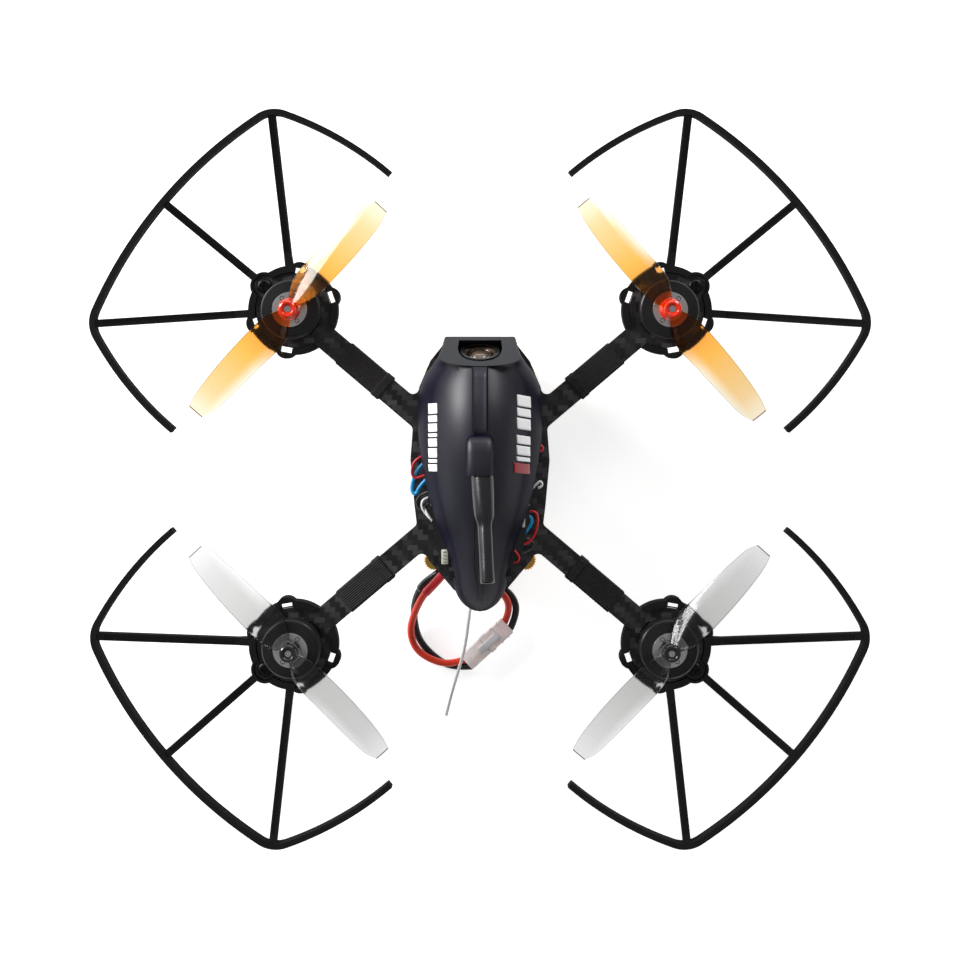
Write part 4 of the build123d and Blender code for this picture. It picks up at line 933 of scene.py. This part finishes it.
# printed marks: short bars in a row down each side
gap = 0.38
at, lean = 18.3, 0.25
for i, length in enumerate((2.4, 1.5, 1.9, 0.8, 1.9, 2.2, 0.8, 1.7)):
    end = at - length
    corners = [(-12.1, at), (-9.9, at + lean), (-9.8, end + lean), (-12.0, end)]
    decal("mark_left_%d" % i, corners, mark_white, (6, 6))
    at = end - gap
at, lean = 20.6, -0.7
for i, length in enumerate((2.6, 1.9, 2.6, 1.0, 2.0, 2.2, 1.0)):
    end = at - length
    left = 8.5 - 0.03 * i
    if i == 3:  # a space in the row
        at = end
        continue
    corners = [(left, at), (left + 3.3, at + lean), (left + 3.4, end + lean), (left + 0.1, end)]
    decal("mark_right_%d" % i, corners, mark_white, (8, 6))
    at = end - gap
corners = [(7.6, at), (11.6, at - 0.8), (11.7, at - 3.2), (7.7, at - 2.4)]
decal("mark_right_last", corners, mark_red, (8, 8))

def spine_channel(stations, half_width=1.55, rise=1.0, rim=0.3):
    """A raised channel along the canopy's middle: two thin rims with a shallow floor between them."""
    section = [
        (-half_width - 0.35, -0.5),
        (-half_width - 0.3, 0.0),
        (-half_width - 0.1, rise * 0.75),
        (-half_width + 0.05, rise),
        (-half_width + rim, rise),
        (-half_width + rim + 0.12, rise * 0.86),
        (-half_width + rim + 0.3, rise * 0.8),
    ]
    section += [(-x, z) for x, z in reversed(section)]
    verts = []
    for i, y in enumerate(stations):
        fade = min(1.0, 0.15 + i / 4, 0.15 + (len(stations) - 1 - i) / 4)
        for x, z in section:
            verts.append((x, y, skin_height(0, y) + (z * fade if z > 0 else z)))
    faces = ring_faces(len(stations), len(section))
    return smooth_by_angle(mesh_object("spine_channel", verts, faces), 30)

paint(spine_channel([27.4 - 0.5 * i for i in range(34)]), canopy_paint)
crease = ((-0.28, -0.3), (-0.16, 0.12), (0.0, 0.2), (0.16, 0.12), (0.28, -0.3))
stations = [2.6 - 0.8 * i for i in range(40)]
for side, label in ((-1, "left"), (1, "right")):
    verts = []
    for y in stations:
        for dx, dz in crease:
            x = side * 1.5 * min(1.0, (y + 32.0) / 12.0) + dx
            verts.append((x, y, skin_height(x, y, dz)))
    faces = ring_faces(len(stations), len(crease))
    paint(mesh_object("tail_crease_" + label, verts, faces), canopy_paint)

# the raised socket that holds the antenna sleeve
antenna_root = Vector((0.2, 8.0, 42.6))
antenna_tip = Vector((1.7, -21.4, 50.2))
along = (antenna_tip - antenna_root).normalized()
across_axis = along.cross(Vector((0, 0, 1))).normalized()
sleeve_place = axes_at(antenna_root, across_axis, -across_axis.cross(along), along)

# place along the canopy, half width, bottom, top
stations = [(11.5, 2.2, 41.0, 44.6), (10.9, 2.9, 40.5, 45.6), (9.8, 3.25, 40.0, 46.4), (7.6, 3.3, 40.0, 46.8)]
stations += [(5.4, 3.3, 39.5, 47.05), (3.2, 3.3, 39.0, 47.15), (2.4, 3.15, 39.0, 46.95)]
verts = []
ring, boxy = 48, 0.55
for y, half, low, high in stations:
    for k in range(ring):
        a = 2 * pi * k / ring
        ca, sa = cos(a), sin(a)
        x = half * abs(ca) ** boxy * (1 if ca > 0 else -1)
        z = (low + high) / 2 + (high - low) / 2 * abs(sa) ** boxy * (1 if sa > 0 else -1)
        verts.append((x, y, z))
faces = ring_faces(len(stations), ring)
socket = mesh_object("antenna_socket", verts, faces)
bore_profile = [(0.0, 0.9), (2.72, 0.9), (2.72, 10.0), (0.0, 10.0)]
cut(socket, lathe("bore", bore_profile, sleeve_place, body=None, steps=40))
smooth_by_angle(socket, 32)
paint(socket, canopy_paint)

# ---- antenna sleeve

sleeve_length = (antenna_tip - antenna_root).length
far = sleeve_length
profile = [(1.05, 1.75), (2.5, 1.75), (2.58, 2.0), (2.6, 7.0), (2.55, 9.5), (2.42, 12.5), (2.3, 14.8)]
profile += [(2.16, 15.7), (1.9, 16.3), (1.72, 16.9), (1.62, 17.6), (1.64, 18.2), (1.65, 21.0), (1.62, 24.0)]
profile += [(1.64, 27.0), (1.65, far - 0.5), (1.6, far - 0.12), (1.5, far - 0.05), (1.28, far - 0.1)]
profile += [(1.22, far - 0.5), (1.2, far - 5.0), (1.06, far - 5.2)]
wrinkled = lathe("antenna_sleeve_shrunk", profile, sleeve_place, steps=72, closed=True)
back_to = sleeve_place.inverted()
for vertex in wrinkled.data.vertices:
    p = back_to @ (vertex.co / MM)
    r = sqrt(p.x**2 + p.y**2)
    a = atan2(p.y, p.x)
    if r > 1.45 and 3.0 < p.z < sleeve_length - 1.0:  # only the outside, away from the ends
        gather = 0.10 if abs(p.z - 17.2) > 2.5 else 0.16
        dent = gather * (0.5 + 0.5 * sin(5 * a + 0.5 * sin(p.z * 0.9))) * min(1.0, (p.z - 3.0) / 3.0)
        p.x *= (r - dent) / r
        p.y *= (r - dent) / r
        vertex.co = (sleeve_place @ p) * MM
paint(wrinkled, shrink)
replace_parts(wrinkled, "antenna_sleeve")

# ---- signal wires

# name, material, thickness, route
wire_routes = [
    ("red", wire_red, 0.62, [
        (-12.45, 6.2, 22.6), (-14.2, 5.4, 22.9), (-15.9, 4.0, 22.8), (-16.4, 1.6, 22.4),
        (-15.8, 0.2, 22.2), (-14.4, 0.4, 22.3), (-12.6, 1.2, 22.5),
    ]),
    ("blue", wire_blue, 0.95, [
        (-12.45, 4.4, 22.6), (-14.0, 3.4, 22.3), (-15.2, 1.6, 21.9), (-16.2, -1.0, 21.6),
        (-16.3, -3.2, 21.7), (-15.2, -3.7, 22.0), (-14.5, -1.8, 22.2), (-12.9, -0.2, 22.5),
    ]),
    ("white", wire_white, 0.62, [
        (-12.3, -4.4, 22.6), (-13.6, -4.7, 22.9), (-14.0, -6.4, 22.8), (-13.2, -8.0, 22.6),
        (-11.9, -9.4, 22.6),
    ]),
    ("white_short", wire_white, 0.7, [
        (-13.3, -7.0, 22.3), (-12.6, -8.4, 23.0), (-11.4, -9.8, 22.9), (-10.9, -10.4, 22.7),
    ]),
    ("black", wire_black, 0.62, [
        (-12.0, -5.6, 22.5), (-13.8, -7.6, 21.9), (-14.9, -6.9, 21.6), (-15.2, -5.4, 21.5),
        (-14.4, -3.8, 21.8), (-12.4, -3.0, 22.4),
    ]),
    ("right_pink", wire_red, 0.6, [
        (12.5, 7.9, 22.4), (14.4, 8.3, 22.2), (15.1, 7.4, 22.1), (14.6, 6.6, 22.1),
        (12.5, 6.4, 22.4),
    ]),
    ("right_white", wire_white, 0.6, [
        (12.45, -2.2, 22.6), (13.4, -1.2, 22.9), (14.3, -0.4, 22.8), (14.9, -1.0, 22.7),
        (14.6, -1.9, 22.7), (13.9, -2.0, 22.8),
    ]),
    ("right_red", wire_red, 0.62, [
        (11.2, -7.9, 22.6), (12.4, -7.4, 23.2), (13.7, -8.2, 23.4), (13.8, -10.6, 23.3),
        (13.1, -13.2, 23.0), (11.8, -15.2, 22.8), (10.3, -15.6, 22.6),
    ]),
    ("right_blue", wire_blue, 0.85, [
        (11.0, -8.6, 22.6), (12.2, -8.9, 22.7), (12.4, -10.2, 22.6), (11.6, -11.8, 22.5),
        (10.6, -12.9, 22.5),
    ]),
    ("right_black", wire_black, 0.62, [
        (11.0, -14.2, 22.6), (12.4, -14.6, 22.4), (12.6, -16.0, 22.2), (11.4, -17.2, 22.3),
        (9.8, -17.6, 22.6),
    ]),
    ("right_tail", wire_red, 0.62, [
        (8.2, -17.0, 23.4), (9.0, -17.8, 23.7), (9.4, -18.9, 23.5), (8.8, -19.8, 23.2),
        (7.9, -20.0, 22.9),
    ]),
]
for name, material, thick, route in wire_routes:
    wire = nurbs("signal_wire_" + name, route, thick)
    paint(wire, material)
    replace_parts(wire, "signal_wires")

# ---- board details

plugs = (("left", -8.35, -18.4, 1.6, 3.4, 4), ("right", 9.6, -9.2, 2.2, 4.2, 5))
for label, x, y, width, length, count in plugs:
    spot = Matrix.Translation((x, y, board_top + 0.9))
    plug = rounded_box("board_plug_" + label, (width, length, 1.75), spot, 0.18)
    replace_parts(paint(plug, cream), "wire_connector")
for label, x, y, width, length, count in plugs:
    for i in range(count):
        spot = Matrix.Translation((x, y + (i - (count - 1) / 2) * 0.8, board_top + 1.76))
        contact = rounded_box("contact_%d_%d" % (round(abs(x)), i), (0.9, 0.34, 0.12), spot, 0.05)
        paint(contact, solder)
# rows of small parts and solder pads along the board's edges
small_parts = []  # x, y, length, width, height, material
for side in (-1, 1):
    for i in range(9):
        y = 9.2 - 1.9 * i
        x = side * (11.5 if y > -5 else 11.5 - (-5 - y) * 0.19)
        small_parts.append((x, y, 1.0, 0.62, 0.5, solder if i % 3 else board_mask))
    for i in range(6):
        small_parts.append((side * (8.6 - 0.3 * i), 9.6 - 3.1 * i, 0.95, 0.5, 0.42, chip if i % 2 else cream))
for i, (x, y, length, width, height, material) in enumerate(small_parts):
    spot = Matrix.Translation((x, y, board_top + height / 2))
    part = rounded_box("small_part_%d" % i, (length, width, height), spot, 0.1, segments=2)
    paint(part, material)

# ---- knurled standoff collars

standoffs = ((-10.9, 25.2), (10.9, 25.2), (-11.2, -20.4), (11.2, -20.4))
levels = [(5.2, 0.0), (5.5, 1.0), (13.6, 1.0), (13.9, 0.0)]  # height, share of the knurl
around = 4 * 22  # four points to a tooth
for corner, (x, y) in enumerate(standoffs):
    verts = []
    for z, full in levels:
        for k in range(around):
            a = 2 * pi * k / around
            r = 2.12 + full * (0.34 if k % 4 in (1, 2) else 0.1)
            verts.append((x + r * cos(a), y + r * sin(a), z))
    faces = ring_faces(len(levels), around)
    collar = smooth_by_angle(mesh_object("standoff_collar_%d" % corner, verts, faces), 25)
    paint(collar, brass)

# ---- battery connector

connector_angle = radians(42.4)
connector_heading = Vector((cos(connector_angle), sin(connector_angle), 0))
connector_side = Vector((sin(connector_angle), -cos(connector_angle), 0))
connector_place = axes_at((1.75, -42.4, 2.3), connector_side, (0, 0, 1), connector_heading)

def connector_box(name, sections, material, radius=0.25, node=None):
    """Boxes along the connector's axis, each as (start, end, width, height), joined into one moulding."""
    whole = None
    for i, (start, end, width, height) in enumerate(sections):
        place = connector_place @ Matrix.Translation((0, 0, (start + end) / 2))
        size = (width, height, end - start)
        body = "airframe" if whole is None else None
        part = rounded_box("%s_%d" % (name, i), size, place, radius, body)
        if whole is None:
            whole = part
        else:
            combine(whole, part)
    whole.name = name
    smooth_by_angle(whole, 35)
    paint(whole, material)
    if node:
        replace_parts(whole, node)
    return whole

# each section: start and end along the connector, width, height
socket_sections = [(-6.95, -0.65, 4.5, 4.3)]
socket_sections += [(a, b, 4.6, 4.4) for a, b in ((-5.6, -5.1), (-3.9, -3.4), (-1.1, -0.65))]
plug_sections = [(-0.6, 6.9, 4.6, 4.2), (-0.55, 1.2, 5.0, 4.6), (3.0, 3.5, 5.0, 4.6), (5.0, 5.5, 5.0, 4.6)]
socket_piece = connector_box("lead_socket_housing", socket_sections, white_nylon, 0.28, "lead_socket")
plug_piece = connector_box("pack_plug_housing", plug_sections, white_nylon, 0.28, "pack_plug")
latch = connector_box("plug_latch", [(-2.6, 3.6, 1.7, 0.55)], white_nylon, 0.15)
latch.data.transform(Matrix.Translation((0, 0, 2.28 * MM)))
paint(connector_box("socket_pins", [(-1.4, -0.3, 2.2, 0.5)], cream, 0.08), brass)

# ---- nose camera

lens_parts = {
    "lens_bezel": (
        lens_ring, [(3.95, 6.85), (3.95, 7.55), (3.8, 7.68), (3.5, 7.6), (3.15, 7.3), (3.1, 6.85)]
    ),
    "lens_step_outer": (lens_dark_ring, [(3.1, 6.82), (3.1, 7.2), (2.85, 7.22), (2.6, 6.95), (2.55, 6.82)]),
    "lens_step_inner": (lens_ring, [(2.55, 6.8), (2.55, 7.12), (2.4, 7.2), (2.15, 7.15), (2.1, 6.8)]),
}
for name, (material, profile) in lens_parts.items():
    paint(lathe(name, profile, look_place, "camera", closed=True), material)
dome_radius, dome_rise, dome_foot = 2.1, 0.85, 6.85
angles = [k * pi / 20 for k in range(11)]
dome = [(dome_radius * sin(a), dome_foot + dome_rise * cos(a)) for a in angles]
glass_dome = lathe("lens_dome", dome + [(0, dome_foot)], look_place, "camera", 48)
paint(glass_dome, glass)
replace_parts(glass_dome, "camera_glass")

# ---- floor and lights

floor_mesh = bpy.data.meshes.new("floor")
reach = 3.0
corners = [(-reach, -reach, 0), (reach, -reach, 0), (reach, reach, 0), (-reach, reach, 0)]
floor_mesh.from_pydata(corners, [], [(0, 1, 2, 3)])
floor = new_object("floor", floor_mesh, None)
floor_paint = Material("floor_paint", (0.85, 0.85, 0.85), 0.85, Emission_Strength=0.7)
floor_paint.put("Emission Color", (1, 1, 1, 1))
mottle = floor_paint.mix(floor_paint.noise(0.01, 2), (0.85, 0.85, 0.85), (0.88, 0.88, 0.88))
floor_paint.link(mottle, "Base Color")
floor.data.materials.append(floor_paint.mat)

world = bpy.data.worlds.new("studio")
world.use_nodes = True
world.node_tree.nodes["Background"].inputs["Color"].default_value = (1, 1, 1, 1)
world.node_tree.nodes["Background"].inputs["Strength"].default_value = 0.22
scene.world = world

def softbox(name, place, size, power):
    """A soft rectangular light that faces the drone."""
    light = bpy.data.lights.new(name, "AREA")
    light.shape = "RECTANGLE"
    light.size, light.size_y = size
    light.energy = power
    obj = bpy.data.objects.new(name, light)
    scene.collection.objects.link(obj)
    obj.location = place
    obj.rotation_euler = (Vector((0, 0, 0.02)) - Vector(place)).to_track_quat("-Z", "Y").to_euler()

softbox("softbox_left", (-0.62, 0.36, 0.27), (0.34, 0.30), 7.5)
softbox("softbox_right", (0.46, 0.60, 0.36), (0.26, 0.26), 2.6)
softbox("softbox_front", (0.0, 0.75, 0.40), (0.6, 0.3), 1.1)
